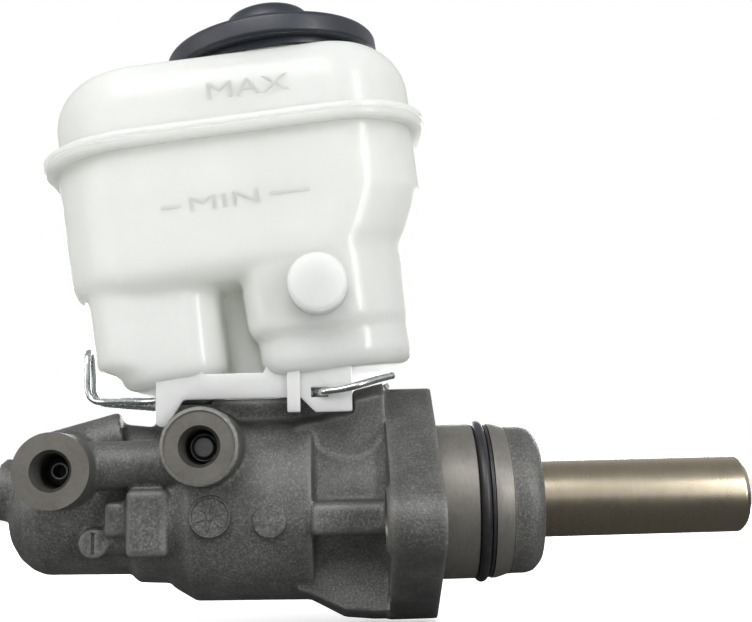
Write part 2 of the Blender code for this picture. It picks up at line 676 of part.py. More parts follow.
def make_cap(lift, turn_frame):
    """The cap turns on the lifting frame, whose diaphragm seals the neck."""
    top = CAP_W - 0.4
    turned("reservoir_cap", [
        (0.0, 167.4), (7.0, 167.2), (11.0, 166.4), (13.4, 165.0), (14.6, 162.5), (15.2, 159.0),
        (16.5, 156.0), (19.5, 154.2), (25.0, CAP_W), (CAP_R - 1.0, CAP_W), (CAP_R, top - 0.8),
        (CAP_R, 147.2), (CAP_R - 0.8, 146.2), (30.0, 146.2), (30.0, 144.2), (28.2, 144.2),
        (28.2, 151.0), (0.0, 151.0)], BLACK, turn=UPRIGHT, steps=BODY_SIDES, parent=turn_frame)
    turned("cap_diaphragm", [
        (0.0, 147.5), (12.2, 147.5), (13.8, 141.7), (17.1, 141.7), (19.0, 150.7), (27.7, 150.7),
        (27.7, 149.8), (19.8, 149.8), (18.1, 140.5), (12.8, 140.5), (11.3, 146.3), (0.0, 146.3)],
        RUBBER, turn=UPRIGHT, parent=lift)


def make_float(frame):
    bottom = SWITCH_W + SWITCH_TUBE_R + SEAT_GAP
    turned("level_float", [
        (3.0, bottom + 11.0), (12.5, bottom + 11.0), (13.5, bottom + 10.0), (13.5, bottom + 1.0),
        (12.5, bottom), (7.3, bottom), (7.3, bottom + 3.6), (3.0, bottom + 3.6)],
        AMBER, turn=UPRIGHT, closed=True, parent=frame)
    turned("float_magnet", [
        (3.0, bottom + 3.3), (7.0, bottom + 3.3), (7.0, bottom + 0.3), (3.0, bottom + 0.3)],
        STEEL, turn=UPRIGHT, closed=True, parent=frame)


def make_level_switch(level):
    """The reed switch, pushed into its tube from the far side, with a two-pin socket."""
    axis = (SWITCH_U, 0.0, SWITCH_W)
    body = turned("level_switch", [
        (0.0, 48.0), (6.0, 48.0), (6.0, 39.4), (8.2, 39.4), (8.2, 36.4), (6.0, 36.4), (6.0, -36.0),
        (4.5, -38.5), (0.0, -38.5)], BLACK, centre=axis, turn=TO_BACK, parent=level)
    join(body, block("socket_shell", (SWITCH_U - 8.5, 46.0, SWITCH_W - 6.5),
                     (SWITCH_U + 8.5, 62.0, SWITCH_W + 6.5), rounding=1.2, parent=level))
    cut(body, block("socket_hollow", (SWITCH_U - 6.9, 50.0, SWITCH_W - 4.9),
                    (SWITCH_U + 6.9, 63.0, SWITCH_W + 4.9), parent=level))
    for name, side in (("switch_pin_front", -1), ("switch_pin_rear", 1)):
        u = SWITCH_U + side * 4.6
        block(name, (u - 0.4, 50.0 + SEAT_GAP, SWITCH_W - 1.1), (u + 0.4, 58.5, SWITCH_W + 1.1),
              BRASS, parent=level)


def make_grommets():
    for name, (x, top, bottom) in (("front_inlet_grommet", FRONT_INLET),
                                   ("rear_inlet_grommet", REAR_INLET)):
        inner = SPIGOT_R + SEAT_GAP
        outer = INLET_SOCKET_R - SEAT_GAP
        turned(name, [
            (inner, top + 2.2), (10.6, top + 2.2), (10.6, top + SEAT_GAP), (outer, top + SEAT_GAP),
            (outer, bottom + SEAT_GAP), (inner, bottom + SEAT_GAP)],
            RUBBER, centre=(x, 0.0, 0.0), turn=UPRIGHT, steps=SMALL_SIDES, closed=True)


def make_clip():
    """The bent spring wire: an upright finger loop in front, and two arms through the skirt."""
    near = [(-12.5, -20.0, 38.3), (-17.0, -24.0, 37.0), (-22.5, -27.8, 35.2), (-28.0, -28.1, 33.9),
            (-32.8, -27.5, 33.4), (-35.4, -23.4, 33.4), (-38.4, -21.8, 33.5), (-62.0, -21.8, 33.8),
            (-75.0, -21.8, 33.2), (-84.0, -21.0, 32.2), (-93.0, -14.5, 32.8), (-100.0, -8.0, 33.2),
            (-105.0, -5.0, 34.0), (-107.3, -4.2, 37.0), (-107.6, -4.0, 43.0), (-107.8, -2.9, 48.0)]
    far = [(x, -y, z) for x, y, z in reversed(near)]
    wire("reservoir_clip", smooth_path(near + [(-107.9, 0.0, 49.6)] + far, 2), 1.05, STEEL)


def make_reservoir():
    level = bpy.data.objects.new("reservoir_level_frame", None)
    level.rotation_euler = (0.0, -RESERVOIR_TILT, 0.0)
    PARTS.objects.link(level)
    lift = child_frame("cap_lift_frame", level, CAP_U)
    turn_frame = child_frame("cap_turn_frame", lift, 0.0)
    float_frame = child_frame("float_frame", level, SWITCH_U)
    make_lower_reservoir(level)
    make_upper_reservoir(level)
    make_strainer(level)
    make_cap(lift, turn_frame)
    make_float(float_frame)
    make_level_switch(level)


def child_frame(name, parent, u):
    made = bpy.data.objects.new(name, None)
    made.location = (u * MM, 0.0, 0.0)
    made.parent = parent
    PARTS.objects.link(made)
    return made


def piston_frame(name):
    made = bpy.data.objects.new(name, None)
    PARTS.objects.link(made)
    return made


def shade_round_pieces():
    for made in PARTS.objects:
        if made.type == "MESH":
            made.data.shade_smooth()
            made.data.set_sharp_from_angle(angle=math.radians(35.0))


make_casting()
primary_frame = piston_frame("primary_stroke_frame")
secondary_frame = piston_frame("secondary_stroke_frame")
make_pistons(primary_frame, secondary_frame)
make_springs(primary_frame, secondary_frame)
make_bore_seals()
make_spigot_seals()
make_outlet_seats()
make_grommets()
make_reservoir()
make_clip()
shade_round_pieces()
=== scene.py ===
"""Looks for a tandem brake master cylinder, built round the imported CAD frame.

Shapes are made in millimetres in the row frame: X along the bore, Z up, ports facing -Y.
The reservoir's own level frame has u along it and w up, turned by RESERVOIR_TILT.
"""
import math

import bmesh
import bpy
from mathutils import Matrix, Vector


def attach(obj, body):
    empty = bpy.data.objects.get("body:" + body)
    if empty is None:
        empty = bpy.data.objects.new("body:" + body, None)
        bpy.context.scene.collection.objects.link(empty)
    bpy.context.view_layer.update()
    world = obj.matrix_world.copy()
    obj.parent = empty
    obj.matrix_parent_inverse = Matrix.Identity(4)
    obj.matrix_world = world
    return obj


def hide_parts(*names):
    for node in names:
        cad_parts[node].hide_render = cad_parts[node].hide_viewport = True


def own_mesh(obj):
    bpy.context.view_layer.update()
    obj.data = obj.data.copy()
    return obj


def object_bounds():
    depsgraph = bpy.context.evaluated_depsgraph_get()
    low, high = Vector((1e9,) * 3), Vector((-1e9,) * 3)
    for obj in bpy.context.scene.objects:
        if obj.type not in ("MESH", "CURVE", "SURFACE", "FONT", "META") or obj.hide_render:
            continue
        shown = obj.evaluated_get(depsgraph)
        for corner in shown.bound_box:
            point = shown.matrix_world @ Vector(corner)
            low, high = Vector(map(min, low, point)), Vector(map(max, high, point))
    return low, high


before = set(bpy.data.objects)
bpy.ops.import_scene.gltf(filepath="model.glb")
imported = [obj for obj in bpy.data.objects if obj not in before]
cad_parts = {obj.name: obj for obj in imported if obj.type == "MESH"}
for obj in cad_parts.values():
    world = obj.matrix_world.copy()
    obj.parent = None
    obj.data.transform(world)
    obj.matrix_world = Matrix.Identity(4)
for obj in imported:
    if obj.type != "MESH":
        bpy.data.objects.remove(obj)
CAD_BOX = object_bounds()

MM = 0.001
FINE = 96
COARSER = 1.0
RESERVOIR_TILT = math.radians(7.0)
FLANGE_TURN = math.radians(5.0)
STUD_REACH = 41.0

ALONG_X = Matrix.Rotation(math.pi / 2, 4, "Y")
TO_VIEWER = Matrix.Rotation(math.pi / 2, 4, "X")
TO_BACK = Matrix.Rotation(-math.pi / 2, 4, "X")
LEVEL = Matrix.Rotation(-RESERVOIR_TILT, 4, "Y")


# ---------------------------------------------------------------- materials

class Finish:
    """A Principled material with helpers that add noise to its colour, roughness and bump."""

    def __init__(self, name, colour, roughness, metallic=0.0):
        self.material = bpy.data.materials.new(name)
        self.material.use_nodes = True
        self.nodes = self.material.node_tree.nodes
        self.links = self.material.node_tree.links
        self.shader = self.nodes["Principled BSDF"]
        self.shader.inputs["Base Color"].default_value = (*colour, 1.0)
        self.shader.inputs["Roughness"].default_value = roughness
        self.shader.inputs["Metallic"].default_value = metallic
        self.place = self.nodes.new("ShaderNodeTexCoord").outputs["Object"]

    def noise(self, scale, detail=4.0, stretch=(1.0, 1.0, 1.0), roughness=0.55):
        mapping = self.nodes.new("ShaderNodeMapping")
        mapping.inputs["Scale"].default_value = stretch
        self.links.new(self.place, mapping.inputs["Vector"])
        made = self.nodes.new("ShaderNodeTexNoise")
        made.inputs["Scale"].default_value = scale
        made.inputs["Detail"].default_value = detail
        made.inputs["Roughness"].default_value = roughness
        self.links.new(mapping.outputs["Vector"], made.inputs["Vector"])
        return made.outputs["Fac"]

    def ramp(self, value, stops):
        made = self.nodes.new("ShaderNodeValToRGB")
        ramp = made.color_ramp
        while len(ramp.elements) < len(stops):
            ramp.elements.new(0.5)
        for element, (position, colour) in zip(ramp.elements, stops):
            element.position = position
            element.color = (*colour, 1.0)
        self.links.new(value, made.inputs["Fac"])
        return made.outputs["Color"]

    def mix(self, factor, first, second, blend="MIX"):
        made = self.nodes.new("ShaderNodeMix")
        made.data_type = "RGBA"
        made.blend_type = blend
        for socket, value in zip((made.inputs[0], made.inputs[6], made.inputs[7]),
                                 (factor, first, second)):
            if isinstance(value, bpy.types.NodeSocket):
                self.links.new(value, socket)
            elif isinstance(value, float):
                socket.default_value = value
            else:
                socket.default_value = (*value, 1.0)
        return made.outputs[2]

    def colour(self, output):
        self.links.new(output, self.shader.inputs["Base Color"])

    def rough(self, value, low, high):
        made = self.nodes.new("ShaderNodeMapRange")
        made.inputs["To Min"].default_value = low
        made.inputs["To Max"].default_value = high
        made.inputs["From Min"].default_value = 0.3
        made.inputs["From Max"].default_value = 0.7
        self.links.new(value, made.inputs["Value"])
        self.links.new(made.outputs["Result"], self.shader.inputs["Roughness"])

    def bump(self, value, strength, distance):
        made = self.nodes.new("ShaderNodeBump")
        made.inputs["Strength"].default_value = strength
        made.inputs["Distance"].default_value = distance
        self.links.new(value, made.inputs["Height"])
        last = self.shader.inputs["Normal"]
        if last.is_linked:
            self.links.new(last.links[0].from_socket, made.inputs["Normal"])
        self.links.new(made.outputs["Normal"], last)


def cast_finish(name, painted_edge_highlight):
    """Dark, oxidised cast aluminium; its convex edges can be painted lighter, a painted highlight.
    """
    made = Finish(name, (0.1, 0.1, 0.095), 0.5, 0.35)
    grain = made.noise(1500.0, 6.0, roughness=0.65)
    blotch = made.noise(85.0, 3.0)
    fine = made.ramp(grain, [(0.30, (0.044, 0.045, 0.043)), (0.52, (0.086, 0.086, 0.083)),
                             (0.72, (0.18, 0.18, 0.174))])
    broad = made.ramp(blotch, [(0.35, (0.82, 0.82, 0.82)), (0.65, (1.18, 1.18, 1.17))])
    body = made.mix(1.0, fine, broad, "MULTIPLY")
    # painted highlight: where Pointiness is high, on convex edges, the colour is lifted to a light
    # grey
    if painted_edge_highlight:
        geometry = made.nodes.new("ShaderNodeNewGeometry")
        edge = made.ramp(geometry.outputs["Pointiness"], [(0.50, (0, 0, 0)), (0.60, (1, 1, 1))])
        body = made.mix(edge, body, (0.22, 0.215, 0.20))
    made.colour(body)
    made.rough(grain, 0.42, 0.62)
    made.bump(made.noise(900.0, 5.0, roughness=0.7), 0.5, 0.00022)
    made.bump(made.noise(2200.0, 2.0), 0.35, 0.0001)
    return made.material


def turned_finish(name, dark, light, roughness, stretch, metallic, bump=0.25, cloudy=0.06):
    """Machined metal: fine lines run the way the tool went."""
    made = Finish(name, dark, roughness, metallic)
    lines = made.noise(1.0, 3.0, stretch)
    cloud = made.noise(160.0, 4.0)
    made.colour(made.mix(cloud, made.ramp(lines, [(0.3, dark), (0.7, light)]), light))
    made.rough(cloud, roughness - cloudy, roughness + cloudy)
    made.bump(lines, bump, 0.00006)
    return made.material


def milky_finish(name, colour, glow):
    """Natural polypropylene: light goes into it and comes out of the other side."""
    made = Finish(name, colour, 0.2)
    made.shader.inputs["Subsurface Weight"].default_value = 1.0
    made.shader.inputs["Subsurface Radius"].default_value = (1.0, 1.0, 0.95)
    made.shader.inputs["Subsurface Scale"].default_value = 0.008
    made.shader.inputs["IOR"].default_value = 1.49
    cloud = made.noise(45.0, 3.0)
    low = tuple(c * 0.965 for c in colour)
    tint = made.ramp(cloud, [(0.35, low), (0.65, colour)])
    made.colour(tint)
    made.rough(made.noise(300.0, 2.0), 0.16, 0.25)
    made.bump(made.noise(260.0, 2.0), 0.05, 0.00012)
    through = made.nodes.new("ShaderNodeBsdfTranslucent")
    made.links.new(tint, through.inputs["Color"])
    blend = made.nodes.new("ShaderNodeMixShader")
    blend.inputs["Fac"].default_value = glow
    made.links.new(made.shader.outputs["BSDF"], blend.inputs[1])
    made.links.new(through.outputs["BSDF"], blend.inputs[2])
    made.links.new(blend.outputs["Shader"], made.nodes["Material Output"].inputs["Surface"])
    return made.material


def plain_finish(name, dark, light, roughness, metallic=0.0):
    """Moulded, plated or sintered pieces: a faint cloud and a fine grain."""
    made = Finish(name, dark, roughness, metallic)
    cloud = made.noise(500.0, 4.0)
    made.colour(made.ramp(cloud, [(0.3, dark), (0.7, light)]))
    made.rough(cloud, roughness - 0.05, roughness + 0.07)
    made.bump(made.noise(1500.0, 3.0), 0.15, 0.0001)
    return made.material


CAST = cast_finish("cast aluminium", True)
MARK = cast_finish("cast mark", False)
# The port bores are coloured near black, far darker than the faced metal: painted shade inside the
# threaded mouths.
THREADED_IN_SHADE = turned_finish("threaded aluminium in painted shade", (0.035, 0.034, 0.031), (0.06, 0.058, 0.052), 0.5,
                         (700.0, 700.0, 700.0), 0.6)
FACED = turned_finish("faced aluminium", (0.135, 0.128, 0.115), (0.185, 0.176, 0.158), 0.42,
                      (700.0, 700.0, 700.0), 0.75)
TURNED = turned_finish("turned aluminium", (0.145, 0.138, 0.125), (0.21, 0.20, 0.18), 0.5,
                       (1500.0, 500.0, 500.0), 0.7)
ANODISED = turned_finish("anodised aluminium", (0.36, 0.312, 0.235), (0.44, 0.385, 0.295), 0.28,
                         (2400.0, 20.0, 20.0), 1.0, 0.01, 0.02)
STEEL = plain_finish("zinc-plated steel", (0.50, 0.53, 0.53), (0.64, 0.66, 0.66), 0.24, 1.0)
SEAT_METAL = plain_finish("seat metal", (0.20, 0.20, 0.20), (0.27, 0.27, 0.27), 0.4, 0.85)
BRASS = plain_finish("tinned brass", (0.58, 0.47, 0.26), (0.68, 0.56, 0.32), 0.3, 1.0)
RUBBER = plain_finish("black rubber", (0.010, 0.010, 0.012), (0.020, 0.020, 0.023), 0.42)
CAP_PLASTIC = plain_finish("cap plastic", (0.012, 0.016, 0.024), (0.015, 0.018, 0.025), 0.42)
SWITCH_PLASTIC = plain_finish("switch plastic", (0.018, 0.018, 0.019), (0.03, 0.03, 0.031), 0.45)
MILKY = milky_finish("milky plastic", (0.88, 0.892, 0.868), 0.5)
SKIRT_PLASTIC = milky_finish("solid milky plastic", (0.70, 0.71, 0.695), 0.25)
MARK_PLASTIC = milky_finish("raised mark plastic", (0.85, 0.862, 0.84), 0.45)
FOAM = plain_finish("float foam", (0.60, 0.48, 0.25), (0.74, 0.62, 0.36), 0.6)


# ---------------------------------------------------------------- shapes, in millimetres

def soften(outline, closed=False, steps=4):
    """Round the corners of an outline: a point's third number, if any, is its fillet."""
    points = []
    count = len(outline)
    for i, (x, y, *fillet) in enumerate(outline):
        if not fillet or not (closed or 0 < i < count - 1):
            points.append((x, y))
            continue
        here = Vector((x, y))
        before = Vector(outline[i - 1][:2]) - here
        after = Vector(outline[(i + 1) % count][:2]) - here
        start = here + before.normalized() * min(fillet[0], 0.45 * before.length)
        end = here + after.normalized() * min(fillet[0], 0.45 * after.length)
        for k in range(steps + 1):
            t = k / steps
            point = start.lerp(here, t).lerp(here.lerp(end, t), t)
            points.append((point.x, point.y))
    return points


def outward(shape, place):
    bmesh.ops.recalc_face_normals(shape, faces=shape.faces)
    if place is not None:
        shape.transform(place)
    return shape


def lathe(outline, place=ALONG_X, closed=False, steps=FINE):
    """Turn a (radius, height) outline about its height axis."""
    shape = bmesh.new()
    rows = []
    for radius, height in soften(outline, closed):
        if radius < 0.001:
            rows.append([shape.verts.new((0.0, 0.0, height))])
        else:
            rows.append([shape.verts.new((radius * math.cos(2 * math.pi * k / steps),
                                          radius * math.sin(2 * math.pi * k / steps), height))
                         for k in range(steps)])
    pairs = list(zip(rows, rows[1:]))
    if closed:
        pairs.append((rows[-1], rows[0]))
    for first, second in pairs:
        for k in range(steps):
            j = (k + 1) % steps
            if len(first) == 1:
                shape.faces.new((first[0], second[k], second[j]))
            elif len(second) == 1:
                shape.faces.new((first[k], second[0], first[j]))
            else:
                shape.faces.new((first[k], second[k], second[j], first[j]))
    return outward(shape, place)


def loft(rings, place=None):
    shape = bmesh.new()
    rows = [[shape.verts.new(p) for p in ring] for ring in rings]
    for lower, upper in zip(rows, rows[1:]):
        for k in range(len(lower)):
            j = (k + 1) % len(lower)
            shape.faces.new((lower[k], lower[j], upper[j], upper[k]))
    shape.faces.new(list(reversed(rows[0])))
    shape.faces.new(rows[-1])
    return outward(shape, place)


def prism(outline, low, high, place=None, edge=0.0):
    """An outline with a thickness from low to high, its rims bevelled by edge."""
    ring = soften(outline, True)
    shape = loft([[(x, y, low) for x, y in ring], [(x, y, high) for x, y in ring]])
    if edge:
        rims = [e for e in shape.edges if abs(e.verts[0].co.z - e.verts[1].co.z) < 0.001]
        bmesh.ops.bevel(shape, geom=rims, offset=edge, segments=2, affect="EDGES", profile=0.5)
    return outward(shape, place)


def brick(low, high, place=None, edge=0.0):
    shape = bmesh.new()
    bmesh.ops.create_cube(shape, size=1.0)
    size = Vector(high) - Vector(low)
    bmesh.ops.scale(shape, vec=size, verts=shape.verts)
    bmesh.ops.translate(shape, vec=(Vector(low) + Vector(high)) / 2, verts=shape.verts)
    if edge:
        bmesh.ops.bevel(shape, geom=shape.edges[:], offset=edge, segments=3, affect="EDGES",
                        profile=0.5)
    return outward(shape, place)


def bar(start, end, radius, steps=48):
    run = Vector(end) - Vector(start)
    place = Matrix.Translation(start) @ run.to_track_quat("Z", "Y").to_matrix().to_4x4()
    return lathe([(0.0, run.length), (radius, run.length), (radius, 0.0), (0.0, 0.0)], place,
                 steps=steps)


def hose(path, radius, sides=14):
    """A round wire along a path, with flat ends."""
    shape = bmesh.new()
    points = [Vector(p) for p in path]
    normal = Vector((0.0, 0.0, 1.0))
    rows = []
    for i, point in enumerate(points):
        along = (points[min(i + 1, len(points) - 1)] - points[max(i - 1, 0)]).normalized()
        normal = (normal - along * normal.dot(along)).normalized()
        side = along.cross(normal)
        rows.append([shape.verts.new(point + radius * (normal * math.cos(2 * math.pi * k / sides)
                                                       + side * math.sin(2 * math.pi * k / sides)))
                     for k in range(sides)])
    for lower, upper in zip(rows, rows[1:]):
        for k in range(sides):
            j = (k + 1) % sides
            shape.faces.new((lower[k], lower[j], upper[j], upper[k]))
    shape.faces.new(list(reversed(rows[0])))
    shape.faces.new(rows[-1])
    return outward(shape, None)


def smooth_path(points, steps=8):
    """A Catmull-Rom curve through the points."""
    knots = [Vector(p) for p in (points[0], *points, points[-1])]
    path = []
    for a, b, c, d in zip(knots, knots[1:], knots[2:], knots[3:]):
        for i in range(steps):
            t = i / steps
            path.append(0.5 * (2 * b + (c - a) * t + (2 * a - 5 * b + 4 * c - d) * t * t
                               + (3 * b - a - 3 * c + d) * t ** 3))
    path.append(knots[-1])
    return path


def hull_of_circles(centres, radius, steps=16):
    outline = []
    count = len(centres)
    for i in range(count):
        before = Vector(centres[i]) - Vector(centres[i - 1])
        after = Vector(centres[(i + 1) % count]) - Vector(centres[i])
        start = math.atan2(before.y, before.x) - math.pi / 2
        sweep = (math.atan2(after.y, after.x) - math.pi / 2 - start) % (2 * math.pi)
        for k in range(steps + 1):
            angle = start + sweep * k / steps
            outline.append((centres[i][0] + radius * math.cos(angle),
                            centres[i][1] + radius * math.sin(angle)))
    return outline


def round_rectangle(w, u_low, u_high, half, corners, inset=0.0, steps=14):
    """A level rectangle with round corners, whose radii are given at its low and high u ends."""
    ring = []
    low, high, depth = u_low + inset, u_high - inset, half - inset
    radii = [max(r - inset, 0.8) for r in (corners[0], corners[1], corners[1], corners[0])]
    signs = ((-1, -1), (1, -1), (1, 1), (-1, 1))
    starts = (math.pi, 1.5 * math.pi, 0.0, 0.5 * math.pi)
    for radius, (side, face), start in zip(radii, signs, starts):
        centre_u = (low + radius) if side < 0 else (high - radius)
        centre_y = face * (depth - radius)
        for k in range(steps + 1):
            angle = start + k / steps * math.pi / 2
            ring.append((centre_u + radius * math.cos(angle),
                         centre_y + radius * math.sin(angle), w))
    return ring


# ---------------------------------------------------------------- objects

def together(shapes):
    whole = bmesh.new()
    for shape in shapes:
        part = bpy.data.meshes.new("part")
        shape.to_mesh(part)
        shape.free()
        whole.from_mesh(part)
        bpy.data.meshes.remove(part)
    return whole


def new_object(name, shapes, *materials):
    whole = together(shapes)
    whole.transform(Matrix.Scale(MM, 4))
    mesh = bpy.data.meshes.new(name)
    whole.to_mesh(mesh)
    whole.free()
    for material in materials:
        mesh.materials.append(material)
    made = bpy.data.objects.new(name, mesh)
    bpy.context.scene.collection.objects.link(made)
    return made


def apply_modifiers(made):
    graph = bpy.context.evaluated_depsgraph_get()
    mesh = bpy.data.meshes.new_from_object(made.evaluated_get(graph), depsgraph=graph)
    made.modifiers.clear()
    made.data = mesh


def fuse(made, voxel, smoothing):
    """One skin over overlapping solids, with its corners and joints rounded as in a mould."""
    materials = list(made.data.materials)
    remesh = made.modifiers.new("fuse", "REMESH")
    remesh.mode = "VOXEL"
    remesh.voxel_size = voxel * COARSER * MM
    soft = made.modifiers.new("round", "SMOOTH")
    soft.factor = 0.5
    soft.iterations = smoothing
    apply_modifiers(made)
    made.data.materials.clear()
    for material in materials:
        made.data.materials.append(material)


def boolean(made, operation, tools):
    """Join or cut with tools, which then go. Faces that a tool makes keep the tool's material."""
    group = bpy.data.collections.new("tools")
    bpy.context.scene.collection.children.link(group)
    for tool in tools:
        bpy.context.scene.collection.objects.unlink(tool)
        group.objects.link(tool)
    step = made.modifiers.new("tools", "BOOLEAN")
    step.operation = operation
    step.solver = "EXACT"
    step.operand_type = "COLLECTION"
    step.collection = group
    step.material_mode = "TRANSFER"
    apply_modifiers(made)
    for tool in tools:
        bpy.data.objects.remove(tool, do_unlink=True)
    bpy.data.collections.remove(group)


def finish_piece(made, body, slot, *replaced, sharp=35.0):
    made.data.shade_smooth()
    made.data.set_sharp_from_angle(angle=math.radians(sharp))
    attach(made, body)
    if replaced:
        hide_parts(*replaced)
    return made


def simple_piece(name, shapes, material, body, slot, *replaced):
    return finish_piece(new_object(name, shapes, material), body, slot, *replaced)


# ---------------------------------------------------------------- casting

# Outlets, facing -Y: x, face, z, boss radius. Inlets, facing up: x, machined top, socket bottom.
REAR_PORT = (-68.5, -37.9, 18.0, 11.4)
FRONT_PORT = (-110.5, -36.0, 12.2, 11.0)
FRONT_INLET = (-75.0, 31.5, 22.0)
REAR_INLET = (-36.0, 33.5, 23.5)
NEAR_STUD = (-STUD_REACH * math.cos(FLANGE_TURN), -STUD_REACH * math.sin(FLANGE_TURN))
FAR_STUD = (-NEAR_STUD[0], -NEAR_STUD[1])
YZ_PLANE = Matrix(((0, 0, 1, 0), (1, 0, 0, 0), (0, 1, 0, 0), (0, 0, 0, 1)))


def at(x, y, z, turn=None):
    place = Matrix.Translation((x, y, z))
    return place @ turn if turn is not None else place


def casting_stock():
    flange = hull_of_circles([NEAR_STUD, (0.0, -25.7), FAR_STUD, (0.0, 25.7)], 10.0)
    side = [(-42.0, -27.5), (-38.0, -29.0), (-28.3, -34.2), (-18.8, -35.1), (-15.0, -35.1),
            (-15.0, 37.6), (-24.5, 35.4), (-24.5, 31.0), (-42.0, 27.0)]
    web = [[(x, y, z * math.sqrt(1.0 - (y / 38.0) ** 2)) for x, z in side]
           for y in range(18, -19, -3)]
    shapes = [
        lathe([(0.0, -8.0), (26.6, -8.0), (26.8, -15.6), (24.2, -18.6), (23.0, -23.0),
               (23.0, -28.5), (23.8, -33.0), (25.4, -36.4), (28.8, -37.4), (28.2, -73.4),
               (24.3, -80.0), (22.7, -81.5), (22.2, -91.0), (19.7, -93.5), (19.2, -119.5),
               (17.8, -123.0), (15.0, -126.5), (10.5, -129.5), (0.0, -131.8)]),
        lathe([(0.0, 32.5), (19.4, 32.5), (21.9, 30.3), (22.7, 28.0), (22.7, 22.6),
               (24.8, 19.0), (24.8, -5.0), (0.0, -5.0)]),
        prism(flange, -15.0, 0.6, YZ_PLANE),
        loft(web),
        bar((-104.0, -21.5, 13.7), (-66.0, -21.5, 13.7), 7.0),
        bar((-117.0, -9.0, 16.5), (-94.6, -8.0, 22.4), 7.8),
        bar((-99.0, -3.0, 17.0), (-84.0, -3.0, 15.2), 9.8),
        bar((-134.2, -2.0, 7.5), (-118.0, -2.0, 4.5), 9.5),
        brick((-91.3, -27.0, -13.0), (-79.0, -8.0, 6.2), edge=1.5),
        brick((-98.0, -24.3, -7.0), (-90.0, -8.0, 2.8), edge=1.2),
        lathe([(0.0, 22.4), (4.4, 22.4), (4.4, 8.0), (0.0, 8.0)], at(-101.4, 0, -8.9, TO_VIEWER)),
        bar((-101.4, -15.5, -7.6), (-90.0, -17.5, -7.6), 5.0),
        brick((-75.0, -11.0, 14.0), (-36.0, 11.0, 33.0), edge=1.2),
        brick((-37.6, -31.2, -8.1), (-8.0, -12.0, 1.4), edge=2.2),
        brick((-37.6, 12.0, -1.4), (-8.0, 31.2, 8.1), edge=2.2),
    ]
    for (x, face, z, radius), proud in ((REAR_PORT, 0.15), (FRONT_PORT, 1.5)):
        shapes.append(lathe([(0.0, proud - face), (radius, proud - face), (radius, 9.0),
                             (0.0, 9.0)], at(x, 0, z, TO_VIEWER)))
    for x, top in ((-75.0, 32.0), (-36.0, 34.0)):
        shapes.append(lathe([(0.0, top), (11.6, top), (11.6, 5.0), (0.0, 5.0)], at(x, 0, 0)))
    for y, z in (NEAR_STUD, FAR_STUD):
        shapes.append(lathe([(0.0, -16.4), (9.3, -16.4), (9.3, -8.0), (0.0, -8.0)],
                            at(0, y, z, ALONG_X)))
    return shapes


def thread(radius, depth, start, stop, pitch=1.25):
    """The zigzag outline of a threaded wall, going in from start to stop."""
    outline = []
    height = start
    while height > stop:
        outline += [(radius, height), (radius - depth, height - pitch / 2)]
        height -= pitch
    return outline


def port_cutters(name, x, face, z, radius, recess):
    """Faces a boss off, and bores it with a threaded mouth. A recess leaves the cast rim proud."""
    mouth = -face - recess
    reach = radius - 1.2 if recess else 18.0
    facing = lathe([(0.0, mouth + 8.0), (reach, mouth + 8.0), (reach, mouth), (0.0, mouth)],
                   at(x, 0, z, TO_VIEWER), steps=128)
    bore = lathe([(0.0, mouth + 1.0), (7.0, mouth + 1.0), (6.0, mouth),
                  *thread(5.6, 0.5, mouth - 0.5, mouth - 11.0), (4.6, mouth - 13.0),
                  (4.6, mouth - 18.0), (0.0, mouth - 18.0)], at(x, 0, z, TO_VIEWER), steps=128)
    return [new_object(name + " facing", [facing], FACED),
            new_object(name + " bore", [bore], THREADED_IN_SHADE)]


def casting_cutters():
    hub = new_object("hub cutter", [lathe([
        (23.9, 0.0), (75.0, 0.0), (75.0, 22.9), (22.6, 22.8), (23.9, 18.6), (23.9, 17.2),
        (21.3, 17.2), (21.3, 12.1), (23.9, 12.1)], closed=True, steps=160)], TURNED)
    bore = [(0.0, 33.5), (17.0, 33.5), (16.0, 31.9), (16.0, 30.5), (17.2, 30.5), (17.2, 28.5),
            (16.0, 28.5), (16.0, 14.0), (12.2, 14.0)]
    for x in (-43.0, -74.5, -87.5):
        bore += [(12.2, x + 3.0), (15.5, x + 3.0), (15.5, x - 3.0), (12.2, x - 3.0)]
    bore += [(12.2, -122.0), (9.0, -126.0), (0.0, -126.0)]
    tools = [
        hub,
        new_object("bore cutter", [lathe(bore)], TURNED),
        *port_cutters("rear port", *REAR_PORT, 0.5),
        *port_cutters("front port", *FRONT_PORT, 0.0),
        new_object("slit cutter", [brick((-101.95, -23.5, -12.0), (-100.85, -21.6, -5.8))], CAST),
    ]
    for i, (y, z) in enumerate((NEAR_STUD, FAR_STUD)):
        tools.append(new_object(f"stud cutter {i}", [lathe([
            (0.0, 2.0), (6.0, 2.0), (4.5, -0.5), (4.5, -14.8), (5.0, -15.3), (8.2, -15.3),
            (8.2, -17.5), (0.0, -17.5)], at(0, y, z, ALONG_X))], FACED))
    for i, (x, top, bottom) in enumerate((FRONT_INLET, REAR_INLET)):
        tools.append(new_object(f"socket cutter {i}", [lathe([
            (0.0, top + 3.0), (13.0, top + 3.0), (13.0, top), (9.8, top), (9.3, top - 0.5),
            (9.3, bottom), (0.0, bottom)], at(x, 0, 0))], FACED))
    return tools


def make_casting():
    body = new_object("casting", casting_stock(), CAST)
    fuse(body, 0.75, 6)
    boolean(body, "DIFFERENCE", casting_cutters())
    finish_piece(body, "casting", "cast_aluminium", "cylinder_body", sharp=28.0)


